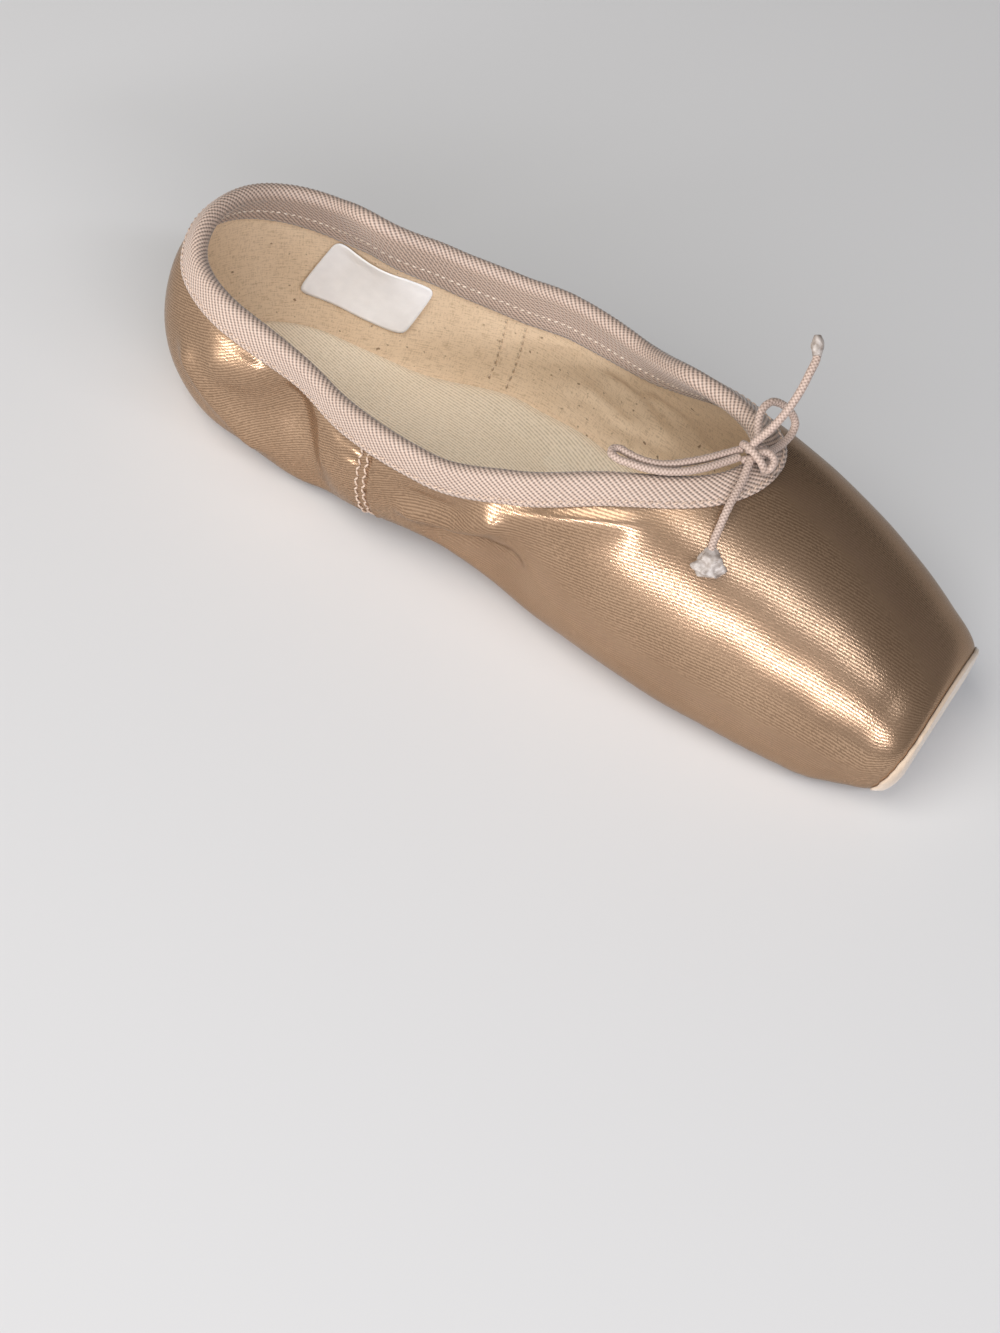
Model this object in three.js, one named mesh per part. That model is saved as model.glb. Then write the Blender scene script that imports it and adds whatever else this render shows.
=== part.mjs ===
// A satin pointe shoe, standing empty on its leather sole.
// Millimetres, +X towards the toe, +Y to the wearer's left, +Z up, floor at Z = 0.
import * as THREE from "three";
import { mergeVertices } from "three/addons/utils/BufferGeometryUtils.js";

// Driving dimensions
const LENGTH = 239; // heel back to the satin of the platform
const HEEL_CENTRE = 38; // axis that the heel's round sections turn about, from the heel back
const THROAT = 173.5; // front of the foot opening, from the heel back
const SEAM_GAP = 0.3; // room between pieces that lie on each other
const PLATFORM_EDGE = 8; // length of the bend from the box's sides to its flat tip
const BODY_END = LENGTH - PLATFORM_EDGE;

const SOLE_THICKNESS = 2.2;
const SOLE_BACK = 10; // ends of the leather, from the heel back
const SOLE_FRONT = 207;
const SOLE_BEVEL = 0.7;
const SOLE_HEEL_ROUND = 17; // length over which each end rounds off
const SOLE_TOE_ROUND = 30;
const INSOLE_THICKNESS = 1.8;
const INSOLE_FRONT = 222;
const INSOLE_TOE_ROUND = 26;
const LASTING_MARGIN = 12; // satin turned in under the insole
const MARGIN_FRONT = 199; // front of the opening that the insole and the leather close
const MARGIN_ROUND = 34;
const CAP_THICKNESS = 0.8; // suede on the platform
const CAP_BORDER_TOP = 0.92; // share of the platform's round edge that the satin covers on top
const CAP_BORDER_BELOW = 0.25; // and underneath

const TAPE = 0.8; // thickness of the collar's binding tape
const TAPE_GAP = 0.45;
const TAPE_OUTSIDE = 6; // leg on the satin
const TAPE_INSIDE = 13; // leg on the lining
const TAPE_CROWN = 0.9; // how much the drawstring rounds the tape over the edge

const CORD = 2.0; // drawstring's diameter

const HEEL_FLAT_END = 57; // the sole lies on the floor up to here,
const BALL_FLAT_START = 140; // and again from here
const BALL_FLAT_END = 182; // to here, where the toe spring starts
const ARCH_RISE = 5.9;
const TOE_SPRING = 2.4;

const MIDDLE_FROM_HEEL = (LENGTH + SEAM_GAP + CAP_THICKNESS) / 2;

// Sections across the last, by distance from the heel back. halfWidth is the widest half girth, at the height
// called widest; flat is the half width that lies on the sole; crown is where the section would close on top.
const SECTIONS = [
  { fromHeel: 0, halfWidth: 30.2, flat: 21.0, widest: 24.7, crown: 66.1, wall: 2.0 },
  { fromHeel: 38, halfWidth: 31.0, flat: 23.3, widest: 25.7, crown: 74.2, wall: 2.0 },
  { fromHeel: 66, halfWidth: 34.4, flat: 26.0, widest: 28.6, crown: 79.4, wall: 1.8 },
  { fromHeel: 96, halfWidth: 37.4, flat: 24.6, widest: 33.0, crown: 81.5, wall: 1.8 },
  { fromHeel: 125, halfWidth: 37.2, flat: 21.5, widest: 30.0, crown: 76.5, wall: 2.0 },
  { fromHeel: 155, halfWidth: 38.3, flat: 24.0, widest: 23.4, crown: 68.8, wall: 2.3 },
  { fromHeel: 174, halfWidth: 39.0, flat: 26.6, widest: 21.4, crown: 63.7, wall: 2.5 },
  { fromHeel: 195, halfWidth: 37.7, flat: 27.0, widest: 20.0, crown: 55.7, wall: 2.7 },
  { fromHeel: 216, halfWidth: 34.5, flat: 28.0, widest: 17.2, crown: 44.4, wall: 3.0 },
  { fromHeel: BODY_END, halfWidth: 29.3, flat: 22.5, widest: 15.8, crown: 34.4, wall: 3.0 },
];

// Height of the collar's edge above the floor, on the wearer's right and left; the soft quarters sag unevenly.
const COLLAR = [
  { fromHeel: 0, right: 53.9, left: 53.9 },
  { fromHeel: 15, right: 50.4, left: 51.2 },
  { fromHeel: 30, right: 49.9, left: 49.9 },
  { fromHeel: 44, right: 48.4, left: 52.2 },
  { fromHeel: 60, right: 45.7, left: 49.6 },
  { fromHeel: 72, right: 44.1, left: 47.9 },
  { fromHeel: 86, right: 44.5, left: 47.8 },
  { fromHeel: 103, right: 44.4, left: 50.6 },
  { fromHeel: 125, right: 50.7, left: 51.5 },
  { fromHeel: 148, right: 59.4, left: 62.1 },
  { fromHeel: THROAT, right: 63.84, left: 63.84 },
];

// Half width of the leather sole, before its ends round off.
const SOLE_OUTLINE = [
  { fromHeel: SOLE_BACK, halfWidth: 18.5 },
  { fromHeel: 36, halfWidth: 18.5 },
  { fromHeel: 62, halfWidth: 16.5 },
  { fromHeel: 97, halfWidth: 15.0 },
  { fromHeel: 132, halfWidth: 19.0 },
  { fromHeel: 160, halfWidth: 23.0 },
  { fromHeel: 185, halfWidth: 22.5 },
  { fromHeel: SOLE_FRONT, halfWidth: 18.0 },
];

// Slack of the soft quarters: each row pushes the wall in (or out, where negative) round one place.
const FOLDS = [
  { side: -1, fromHeel: 60, height: 32, depth: 4.0, along: 13, tall: 13 },
  { side: -1, fromHeel: 36, height: 40, depth: -2.0, along: 15, tall: 13 },
  { side: -1, fromHeel: 84, height: 22, depth: -2.0, along: 12, tall: 14 },
  { side: -1, fromHeel: 117, height: 17, depth: 6.0, along: 19, tall: 12 },
  { side: 1, fromHeel: 50, height: 48, depth: 3.0, along: 12, tall: 18 },
  { side: 1, fromHeel: 140, height: 58, depth: 4.8, along: 17, tall: 14 },
];

// The drawstring's bow, as points from the throat (along), across, and above the floor.
const KNOT = { along: 0.5, across: -3.2, height: 67.8, radii: [3.6, 3.0, 2.3] };
const LONG_LOOP = [
  { along: -3.3, across: -5.5, height: 67.1 },
  { along: -5.4, across: -8.7, height: 66.6 },
  { along: -8.3, across: -12.9, height: 66.0 },
  { along: -12.0, across: -16.9, height: 65.4 },
  { along: -15.9, across: -19.6, height: 64.9 },
  { along: -20.0, across: -21.2, height: 64.5 },
  { along: -24.0, across: -22.0, height: 64.2 },
  { along: -27.4, across: -22.4, height: 64.0 },
  { along: -29.3, across: -21.7, height: 63.9 },
  { along: -29.7, across: -20.3, height: 64.0 },
  { along: -28.6, across: -19.3, height: 64.1 },
  { along: -26.4, across: -19.4, height: 64.2 },
  { along: -23.2, across: -19.4, height: 64.3 },
  { along: -19.4, across: -18.6, height: 64.6 },
  { along: -15.9, across: -16.6, height: 65.0 },
  { along: -12.9, across: -13.9, height: 65.6 },
  { along: -9.7, across: -10.4, height: 66.2 },
  { along: -6.8, across: -6.6, height: 66.8 },
  { along: -4.0, across: -2.9, height: 67.4 },
];
const SMALL_LOOP = [
  { along: -1.5, across: 0.6, height: 68.4 },
  { along: -2.9, across: 2.4, height: 70.0 },
  { along: -4.2, across: 4.2, height: 72.2 },
  { along: -4.6, across: 6.4, height: 74.0 },
  { along: -3.7, across: 8.9, height: 74.7 },
  { along: -1.5, across: 11.4, height: 73.2 },
  { along: 0.9, across: 13.0, height: 70.6 },
  { along: 2.5, across: 13.0, height: 68.2 },
  { along: 3.0, across: 11.0, height: 66.7 },
  { along: 2.7, across: 7.6, height: 66.0 },
  { along: 2.1, across: 4.0, height: 66.3 },
  { along: 1.7, across: 1.2, height: 66.9 },
];
const STANDING_END = [
  { along: -1.6, across: -2.6, height: 70.8 },
  { along: 0.5, across: -0.6, height: 75.1 },
  { along: 2.0, across: 2.6, height: 79.6 },
  { along: 2.7, across: 6.0, height: 84.2 },
  { along: 2.6, across: 9.4, height: 88.0 },
  { along: 2.2, across: 12.4, height: 90.3 },
];
const STANDING_TIP = { along: 0.7, across: 14.3, height: 92.1, radii: [1.5, 1.5, 2.5] };
const LYING_END = [
  { along: -0.1, across: -7.0, height: 66.7 },
  { along: 0.5, across: -9.6, height: 65.5 },
  { along: 0.9, across: -13.1, height: 64.1 },
  { along: 1.3, across: -17.2, height: 62.1 },
  { along: 1.9, across: -21.4, height: 58.8 },
  { along: 2.5, across: -24.6, height: 56.1 },
];
const LYING_TIP = { along: 4.3, across: -28.0, height: 53.0, radii: [3.2, 1.5, 4.0] };

// Where the bottom, the side and the top of a section meet, as shares of its girth coordinate.
const FLAT_SHARE = 0.2;
const SIDE_SHARE = 0.5;
const FOLDS_END = 0.85; // from here the slack fades out to the line on top

// Smooth monotone curve through one column of a table, by distance from the heel.
function columnAt(table, column, fromHeel) {
  const last = table.length - 1;
  const at = Math.min(Math.max(fromHeel, table[0].fromHeel), table[last].fromHeel);
  const rise = (k) =>
    (table[k + 1][column] - table[k][column]) / (table[k + 1].fromHeel - table[k].fromHeel);
  const slope = (k) => {
    if (k === 0) return rise(0);
    if (k === last) return rise(last - 1);
    const before = rise(k - 1);
    const after = rise(k);
    return before * after <= 0 ? 0 : (2 * before * after) / (before + after);
  };
  let k = 0;
  while (k < last - 1 && at > table[k + 1].fromHeel) k += 1;
  const span = table[k + 1].fromHeel - table[k].fromHeel;
  const s = (at - table[k].fromHeel) / span;
  return (
    table[k][column] * (1 + 2 * s) * (1 - s) ** 2 +
    slope(k) * span * s * (1 - s) ** 2 +
    table[k + 1][column] * s * s * (3 - 2 * s) +
    slope(k + 1) * span * s * s * (s - 1)
  );
}

// Underside of the leather: flat at the heel and the ball, raised at the arch and the toe.
function groundAt(fromHeel) {
  if (fromHeel > HEEL_FLAT_END && fromHeel < BALL_FLAT_START) {
    const share = (fromHeel - HEEL_FLAT_END) / (BALL_FLAT_START - HEEL_FLAT_END);
    return ARCH_RISE * Math.sin(Math.PI * share) ** 2;
  }
  return TOE_SPRING * (Math.max(0, fromHeel - BALL_FLAT_END) / (LENGTH - BALL_FLAT_END)) ** 2;
}

const lastBottomAt = (fromHeel) => groundAt(fromHeel) + SOLE_THICKNESS + SEAM_GAP;

// Half section at a place: distance across and height, for a girth share from 0 (underneath) to 1 (on top).
function sectionPoint(fromHeel, girth) {
  const halfWidth = columnAt(SECTIONS, "halfWidth", fromHeel);
  const flat = columnAt(SECTIONS, "flat", fromHeel);
  const widest = columnAt(SECTIONS, "widest", fromHeel);
  const crown = columnAt(SECTIONS, "crown", fromHeel);
  const bottom = lastBottomAt(fromHeel);
  if (girth < FLAT_SHARE) return { across: (flat * girth) / FLAT_SHARE, height: bottom };
  if (girth < SIDE_SHARE) {
    const turn = ((girth - FLAT_SHARE) / (SIDE_SHARE - FLAT_SHARE)) * (Math.PI / 2);
    return {
      across: flat + (halfWidth - flat) * Math.sin(turn),
      height: widest - (widest - bottom) * Math.cos(turn),
    };
  }
  const turn = ((girth - SIDE_SHARE) / (1 - SIDE_SHARE)) * (Math.PI / 2);
  return { across: halfWidth * Math.cos(turn), height: widest + (crown - widest) * Math.sin(turn) };
}

// The outside of the last. station runs 0 to 1 round the heel from its back, 1 to 2 along the foot, 2 to 3 over
// the platform's round edge and 3 to 4 in to the platform's middle. side is -1 on the wearer's right, 1 on the left.
function lastPoint(station, girth, side) {
  if (girth > 1) return lastPoint(station, 2 - girth, -side);
  if (girth < 0) return lastPoint(station, -girth, -side);
  if (station < 0) return lastPoint(-station, girth, -side);
  const turn = Math.max(0, 1 - station) * (Math.PI / 2);
  const fromHeel = fromHeelOf(station);
  const { across, height } = sectionPoint(fromHeel, girth);
  const point = new THREE.Vector3(fromHeel, side * across, height);
  if (station < 1) {
    const share = across / columnAt(SECTIONS, "halfWidth", fromHeel);
    point.x = HEEL_CENTRE * (1 - Math.sin(turn) * share);
    point.y = side * columnAt(SECTIONS, "halfWidth", HEEL_CENTRE) * Math.cos(turn) * share;
  }
  if (station > 2) {
    const before = sectionPoint(BODY_END - 1, girth);
    const corner = {
      across: across + (across - before.across) * PLATFORM_EDGE,
      height: height + (height - before.height) * PLATFORM_EDGE,
    };
    const inwards = Math.max(0, Math.min(1, 4 - station));
    const halfWidth = columnAt(SECTIONS, "halfWidth", BODY_END);
    const crown = columnAt(SECTIONS, "crown", BODY_END);
    const bottom = lastBottomAt(BODY_END);
    const middle = (crown + bottom) / 2;
    const flatTip = {
      across: across * (1 - PLATFORM_EDGE / halfWidth) * inwards,
      height: middle + (height - middle) * (1 - (2 * PLATFORM_EDGE) / (crown - bottom)) * inwards,
    };
    const share = Math.min(station - 2, 1);
    const bend = (from, by, to) => from * (1 - share) ** 2 + by * 2 * share * (1 - share) + to * share ** 2;
    point.x = bend(BODY_END, LENGTH, LENGTH);
    point.y = side * bend(across, corner.across, flatTip.across);
    point.z = bend(height, corner.height, flatTip.height);
  }
  const below = THREE.MathUtils.smoothstep(girth, FLAT_SHARE, SIDE_SHARE);
  const above = 1 - THREE.MathUtils.smoothstep(girth, FOLDS_END, 1);
  const slack = below * above * Math.cos(turn);
  for (const fold of FOLDS) {
    if (fold.side !== side) continue;
    const away = ((point.x - fold.fromHeel) / fold.along) ** 2 + ((height - fold.height) / fold.tall) ** 2;
    point.y -= side * fold.depth * Math.exp(-away) * slack;
  }
  return point;
}

function fromHeelOf(station) {
  if (station < 1) return HEEL_CENTRE * (1 - Math.sin((1 - station) * (Math.PI / 2)));
  return HEEL_CENTRE + (Math.min(station, 2) - 1) * (BODY_END - HEEL_CENTRE);
}

const stationOf = (fromHeel) => 1 + (fromHeel - HEEL_CENTRE) / (BODY_END - HEEL_CENTRE);

const STEP = 1e-3; // of a station or a girth share, for slopes

function lastSlopes(station, girth, side) {
  const slope = (a, b) => a.sub(b).divideScalar(2 * STEP);
  return {
    forward: slope(lastPoint(station + STEP, girth, side), lastPoint(station - STEP, girth, side)),
    up: slope(lastPoint(station, girth + STEP, side), lastPoint(station, girth - STEP, side)),
  };
}

function lastNormal(station, girth, side) {
  if (station >= 3) return new THREE.Vector3(1, 0, 0);
  const { forward, up } = lastSlopes(station, girth, side);
  return forward.cross(up).multiplyScalar(-side).normalize();
}

// A point that lies off the last by a distance, outwards when it is positive.
function offLast(station, girth, side, distance) {
  return lastPoint(station, girth, side).addScaledVector(lastNormal(station, girth, side), distance);
}

const wallAt = (station) => columnAt(SECTIONS, "wall", fromHeelOf(station));

// Girth share of the collar's edge; 1 in front of the throat, where the satin closes over the foot.
function collarGirth(station, side) {
  const fromHeel = fromHeelOf(station);
  if (fromHeel >= THROAT - 1e-6) return 1;
  const widest = columnAt(SECTIONS, "widest", fromHeel);
  const crown = columnAt(SECTIONS, "crown", fromHeel);
  const height = columnAt(COLLAR, side < 0 ? "right" : "left", fromHeel);
  const share = (height - widest) / (crown - widest);
  return SIDE_SHARE + (1 - SIDE_SHARE) * (Math.asin(Math.min(1, share)) / (Math.PI / 2));
}

// Girth share where the turned-in margin ends underneath; 0 in front of the opening that the insole closes.
function marginGirth(station) {
  const fromHeel = fromHeelOf(station);
  if (fromHeel >= MARGIN_FRONT - 1e-6) return 0;
  const flat = columnAt(SECTIONS, "flat", fromHeel);
  const past = Math.max(0, 1 - (MARGIN_FRONT - fromHeel) / MARGIN_ROUND);
  return FLAT_SHARE * ((flat - LASTING_MARGIN) / flat) * Math.sqrt(1 - past * past);
}

// Surface building: quads between rows of points, each cut along its shorter diagonal, welded into one closed mesh
function addTriangle(triangles, a, b, c, flip) {
  const thin = a.distanceTo(b) < 1e-4 || b.distanceTo(c) < 1e-4 || c.distanceTo(a) < 1e-4;
  if (!thin) triangles.push(a, flip ? c : b, flip ? b : c);
}

function addQuad(triangles, a, b, c, d, flip = false) {
  if (a.distanceTo(c) <= b.distanceTo(d)) {
    addTriangle(triangles, a, b, c, flip);
    addTriangle(triangles, a, c, d, flip);
  } else {
    addTriangle(triangles, a, b, d, flip);
    addTriangle(triangles, b, c, d, flip);
  }
}

// A tube of closed rings, with flat ends or joined back to its start.
function addRings(triangles, rings, closed) {
  const sides = rings[0].length;
  const spans = closed ? rings.length : rings.length - 1;
  for (let i = 0; i < spans; i += 1) {
    const here = rings[i];
    const next = rings[(i + 1) % rings.length];
    for (let j = 0; j < sides; j += 1) {
      const k = (j + 1) % sides;
      addQuad(triangles, here[j], next[j], next[k], here[k]);
    }
  }
  if (closed) return;
  for (let j = 1; j < sides - 1; j += 1) {
    addTriangle(triangles, rings[0][0], rings[0][j], rings[0][j + 1]);
    const end = rings[rings.length - 1];
    addTriangle(triangles, end[0], end[j], end[j + 1], true);
  }
}

function weld(triangles) {
  const loose = new THREE.BufferGeometry().setFromPoints(triangles);
  loose.translate(-MIDDLE_FROM_HEEL, 0, 0);
  const welded = mergeVertices(loose, 1e-3);
  welded.computeVertexNormals();
  return welded;
}

const steps = (from, to, count) =>
  Array.from({ length: count + 1 }, (_, k) => from + ((to - from) * k) / count);

// Stations along the collar, closer together towards the throat, and on to the platform.
const HEEL_STEPS = 9;
const QUARTER_STEPS = 17;
const THROAT_CROWDING = 1.7;
const COLLAR_STATIONS = [
  ...steps(0, 1, HEEL_STEPS).slice(0, -1),
  ...steps(1, 0, QUARTER_STEPS).map((share) =>
    stationOf(THROAT - (THROAT - HEEL_CENTRE) * share ** THROAT_CROWDING),
  ),
];
const VAMP_STATIONS = [
  ...[182, 190, MARGIN_FRONT, 208, 214, 218, 226].map(stationOf),
  ...steps(2, 3, 5),
  3.5,
  4,
];
const LOWER_ROWS = 7; // rows of points up to the widest place
const UPPER_ROWS = 10; // and from there to the collar

function upperGeometry() {
  const stations = [...COLLAR_STATIONS, ...VAMP_STATIONS];
  const throat = COLLAR_STATIONS.length - 1;
  const marginFront = stations.findIndex((station) => marginGirth(station) === 0);
  const top = LOWER_ROWS + UPPER_ROWS;
  const triangles = [];
  for (const side of [-1, 1]) {
    const flip = side > 0;
    const rows = stations.map((station) => {
      const lower = steps(marginGirth(station), SIDE_SHARE, LOWER_ROWS).slice(0, -1);
      const girths = [...lower, ...steps(SIDE_SHARE, collarGirth(station, side), UPPER_ROWS)];
      return {
        outer: girths.map((girth) => lastPoint(station, girth, side)),
        inner: girths.map((girth) => offLast(station, girth, side, -wallAt(station))),
      };
    });
    for (let i = 0; i < rows.length - 1; i += 1) {
      const here = rows[i];
      const next = rows[i + 1];
      for (let j = 0; j < top; j += 1) {
        addQuad(triangles, here.outer[j], next.outer[j], next.outer[j + 1], here.outer[j + 1], flip);
        addQuad(triangles, here.inner[j], here.inner[j + 1], next.inner[j + 1], next.inner[j], flip);
      }
      if (i < throat) addQuad(triangles, here.outer[top], next.outer[top], next.inner[top], here.inner[top], flip);
      if (i < marginFront) addQuad(triangles, here.outer[0], here.inner[0], next.inner[0], next.outer[0], flip);
    }
  }
  return weld(triangles);
}

// Walks over the last from the collar's edge, square to it, and returns the places at the given distances.
const WALK_STEP = 0.5;

function walkFromCollar(station, side, away, distances) {
  let place = { station, girth: collarGirth(station, side) };
  let gone = 0;
  let heading = away;
  return distances.map((distance) => {
    const count = Math.max(1, Math.round((distance - gone) / WALK_STEP));
    const stride = (distance - gone) / count;
    for (let k = 0; k < count && stride > 0; k += 1) {
      const { forward, up } = lastSlopes(place.station, place.girth, side);
      const normal = lastNormal(place.station, place.girth, side);
      heading = heading.clone().addScaledVector(normal, -heading.dot(normal)).normalize();
      const ff = forward.dot(forward);
      const fu = forward.dot(up);
      const uu = up.dot(up);
      const bottom = ff * uu - fu * fu;
      const hf = heading.dot(forward);
      const hu = heading.dot(up);
      place = {
        station: place.station + (stride * (hf * uu - hu * fu)) / bottom,
        girth: place.girth + (stride * (hu * ff - hf * fu)) / bottom,
      };
    }
    gone = distance;
    return place;
  });
}

// The collar's tape: a fold over the edge with a leg on the satin and a leg on the lining.
const LEG_STEPS = 3;
const CROWN_TURNS = [Math.PI / 4, Math.PI / 2, (3 * Math.PI) / 4];

function tapeRing(station, side, away) {
  const wall = wallAt(station);
  const edge = lastPoint(station, collarGirth(station, side), side);
  const out = lastNormal(station, collarGirth(station, side), side);
  const leg = (width, offset) =>
    walkFromCollar(station, side, away, steps(0, width, LEG_STEPS)).map((place) =>
      offLast(place.station, place.girth, side, offset),
    );
  const crown = (offset) =>
    CROWN_TURNS.map((turn) =>
      edge
        .clone()
        .addScaledVector(out, (wall / 2 + offset) * Math.cos(turn) - wall / 2)
        .addScaledVector(away, -(offset + TAPE_CROWN) * Math.sin(turn)),
    );
  const face = TAPE_GAP + TAPE;
  return [
    ...leg(TAPE_OUTSIDE, face).reverse(),
    ...crown(face),
    ...leg(TAPE_INSIDE, -wall - face),
    ...leg(TAPE_INSIDE, -wall - TAPE_GAP).reverse(),
    ...crown(TAPE_GAP).reverse(),
    ...leg(TAPE_OUTSIDE, TAPE_GAP),
  ];
}

function bindingGeometry() {
  const throat = COLLAR_STATIONS.length - 1;
  const loop = [
    ...COLLAR_STATIONS.map((station) => ({ station, side: -1 })),
    ...COLLAR_STATIONS.slice(1, throat).reverse().map((station) => ({ station, side: 1 })),
  ];
  const edges = loop.map(({ station, side }) => lastPoint(station, collarGirth(station, side), side));
  const rings = loop.map(({ station, side }, k) => {
    const before = edges[(k + loop.length - 1) % loop.length];
    const after = edges[(k + 1) % loop.length];
    const along = turnedChord(before, edges[k], after);
    const out = lastNormal(station, collarGirth(station, side), side);
    return tapeRing(station, side, along.cross(out).normalize());
  });
  const triangles = [];
  addRings(triangles, rings, true);
  return weld(triangles);
}

// Direction of a curve at its middle point, from three points at unequal distances.
function turnedChord(before, here, after) {
  const back = here.clone().sub(before);
  const ahead = after.clone().sub(here);
  const backLength = back.length();
  const aheadLength = ahead.length();
  return back
    .multiplyScalar(aheadLength / backLength)
    .addScaledVector(ahead, backLength / aheadLength)
    .normalize();
}

// The suede on the platform, laid on the last's own tip.
function capGeometry() {
  const girths = steps(0, 1, LOWER_ROWS + UPPER_ROWS);
  const border = (girth) =>
    2 + THREE.MathUtils.lerp(CAP_BORDER_BELOW, CAP_BORDER_TOP, THREE.MathUtils.smoothstep(girth, 0.25, 0.8));
  const shares = steps(0, 1, 3); // from the border to the flat tip
  const edgeRows = shares.map((share) => (girth) => THREE.MathUtils.lerp(border(girth), 3, share));
  const rows = [...edgeRows, () => 3.5, () => 4];
  const triangles = [];
  for (const side of [-1, 1]) {
    const flip = side > 0;
    const layer = (offset) =>
      rows.map((station) => girths.map((girth) => offLast(station(girth), girth, side, offset)));
    const outer = layer(SEAM_GAP + CAP_THICKNESS);
    const inner = layer(SEAM_GAP);
    for (let j = 0; j < girths.length - 1; j += 1) {
      for (let i = 0; i < rows.length - 1; i += 1) {
        addQuad(triangles, outer[i][j], outer[i + 1][j], outer[i + 1][j + 1], outer[i][j + 1], flip);
        addQuad(triangles, inner[i][j], inner[i][j + 1], inner[i + 1][j + 1], inner[i + 1][j], flip);
      }
      addQuad(triangles, inner[0][j], outer[0][j], outer[0][j + 1], inner[0][j + 1], flip);
    }
  }
  return weld(triangles);
}

// Share of the full width left near an end that rounds off over a length.
function roundedEnd(toEnd, round) {
  const past = Math.max(0, 1 - toEnd / round);
  return Math.sqrt(Math.max(0, 1 - past * past));
}

const SOLE_STEPS = 44;
const SOLE_TIP = 0.5; // from each end to the first ring, where the outline closes

function outsoleGeometry() {
  const middle = (SOLE_BACK + SOLE_FRONT) / 2;
  const reach = (SOLE_FRONT - SOLE_BACK) / 2 - SOLE_TIP;
  const rings = steps(0, Math.PI, SOLE_STEPS).map((turn) => {
    const fromHeel = middle - reach * Math.cos(turn);
    const half =
      columnAt(SOLE_OUTLINE, "halfWidth", fromHeel) *
      roundedEnd(fromHeel - SOLE_BACK, SOLE_HEEL_ROUND) *
      roundedEnd(SOLE_FRONT - fromHeel, SOLE_TOE_ROUND);
    const ground = groundAt(fromHeel);
    return [
      [SOLE_BEVEL - half, 0],
      [-half, SOLE_BEVEL],
      [-half, SOLE_THICKNESS],
      [half, SOLE_THICKNESS],
      [half, SOLE_BEVEL],
      [half - SOLE_BEVEL, 0],
    ].map(([across, up]) => new THREE.Vector3(fromHeel, across, ground + up));
  });
  const triangles = [];
  addRings(triangles, rings, false);
  return weld(triangles);
}

// The insole lies on the turned-in margin and fills the last's flat bottom.
const INSOLE_STATIONS = [
  ...COLLAR_STATIONS,
  ...[182, 190, MARGIN_FRONT, 208, 214, 218, 220.5, INSOLE_FRONT].map(stationOf),
];

function insoleGeometry() {
  const triangles = [];
  const layer = (side, up) =>
    INSOLE_STATIONS.map((station) => {
      const fromHeel = fromHeelOf(station);
      const girth = FLAT_SHARE * roundedEnd(INSOLE_FRONT - fromHeel, INSOLE_TOE_ROUND);
      const floor = lastBottomAt(fromHeel) + wallAt(station) + SEAM_GAP;
      return [0, girth].map((share) => lastPoint(station, share, side).setZ(floor + up));
    });
  for (const side of [-1, 1]) {
    const flip = side > 0;
    const under = layer(side, 0);
    const top = layer(side, INSOLE_THICKNESS);
    for (let i = 0; i < INSOLE_STATIONS.length - 1; i += 1) {
      addQuad(triangles, under[i][0], under[i + 1][0], under[i + 1][1], under[i][1], flip);
      addQuad(triangles, top[i][0], top[i][1], top[i + 1][1], top[i + 1][0], flip);
      addQuad(triangles, under[i][1], under[i + 1][1], top[i + 1][1], top[i][1], flip);
    }
  }
  return weld(triangles);
}

// Drawstring: tubes along routes, and round knots and tips
const fromThroat = ({ along, across, height }) => new THREE.Vector3(THROAT + along, across, height);
const CORD_SIDES = 8;

function cordGeometry(route, stepLength) {
  const curve = new THREE.CatmullRomCurve3(route.map(fromThroat));
  const count = Math.round(curve.getLength() / stepLength);
  const section = new THREE.Shape(
    steps(0, 2 * Math.PI, CORD_SIDES)
      .slice(0, -1)
      .map((turn) => new THREE.Vector2((CORD / 2) * Math.cos(turn), (CORD / 2) * Math.sin(turn))),
  );
  const tube = new THREE.ExtrudeGeometry(section, { steps: count, extrudePath: curve, bevelEnabled: false });
  return weldShape(tube);
}

function roundGeometry(spot, pointing) {
  const ball = new THREE.SphereGeometry(1, 10, 8);
  ball.rotateX(Math.PI / 2);
  ball.scale(...spot.radii);
  const turn = new THREE.Quaternion().setFromUnitVectors(new THREE.Vector3(0, 0, 1), pointing);
  ball.applyQuaternion(turn);
  ball.translate(...fromThroat(spot).toArray());
  return weldShape(ball);
}

function weldShape(geometry) {
  const flat = geometry.index ? geometry.toNonIndexed() : geometry;
  const place = flat.getAttribute("position");
  const corners = steps(0, place.count - 1, place.count - 1).map((k) =>
    new THREE.Vector3().fromBufferAttribute(place, k),
  );
  const triangles = [];
  for (let k = 0; k < corners.length; k += 3) {
    addTriangle(triangles, corners[k], corners[k + 1], corners[k + 2]);
  }
  return weld(triangles);
}

const heading = (route, spot) => fromThroat(spot).sub(fromThroat(route[route.length - 1])).normalize();
const upright = new THREE.Vector3(0, 0, 1);
const END_STEP = 2 * CORD;

const group = new THREE.Group();

function addPiece(name, geometry, colour, roughness) {
  const material = new THREE.MeshStandardMaterial({ color: colour, roughness, metalness: 0 });
  const mesh = new THREE.Mesh(geometry, material);
  mesh.name = name;
  group.add(mesh);
}

const SATIN = 0xd3ad8b;
const TAPE_COLOUR = 0xdcb9a0;
const CORD_COLOUR = 0xcda892;
const SUEDE = 0xd2b394;
const LEATHER = 0xb9926c;
const CANVAS = 0xdccbae;
const GLUE = 0xc9bdb2;

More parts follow.
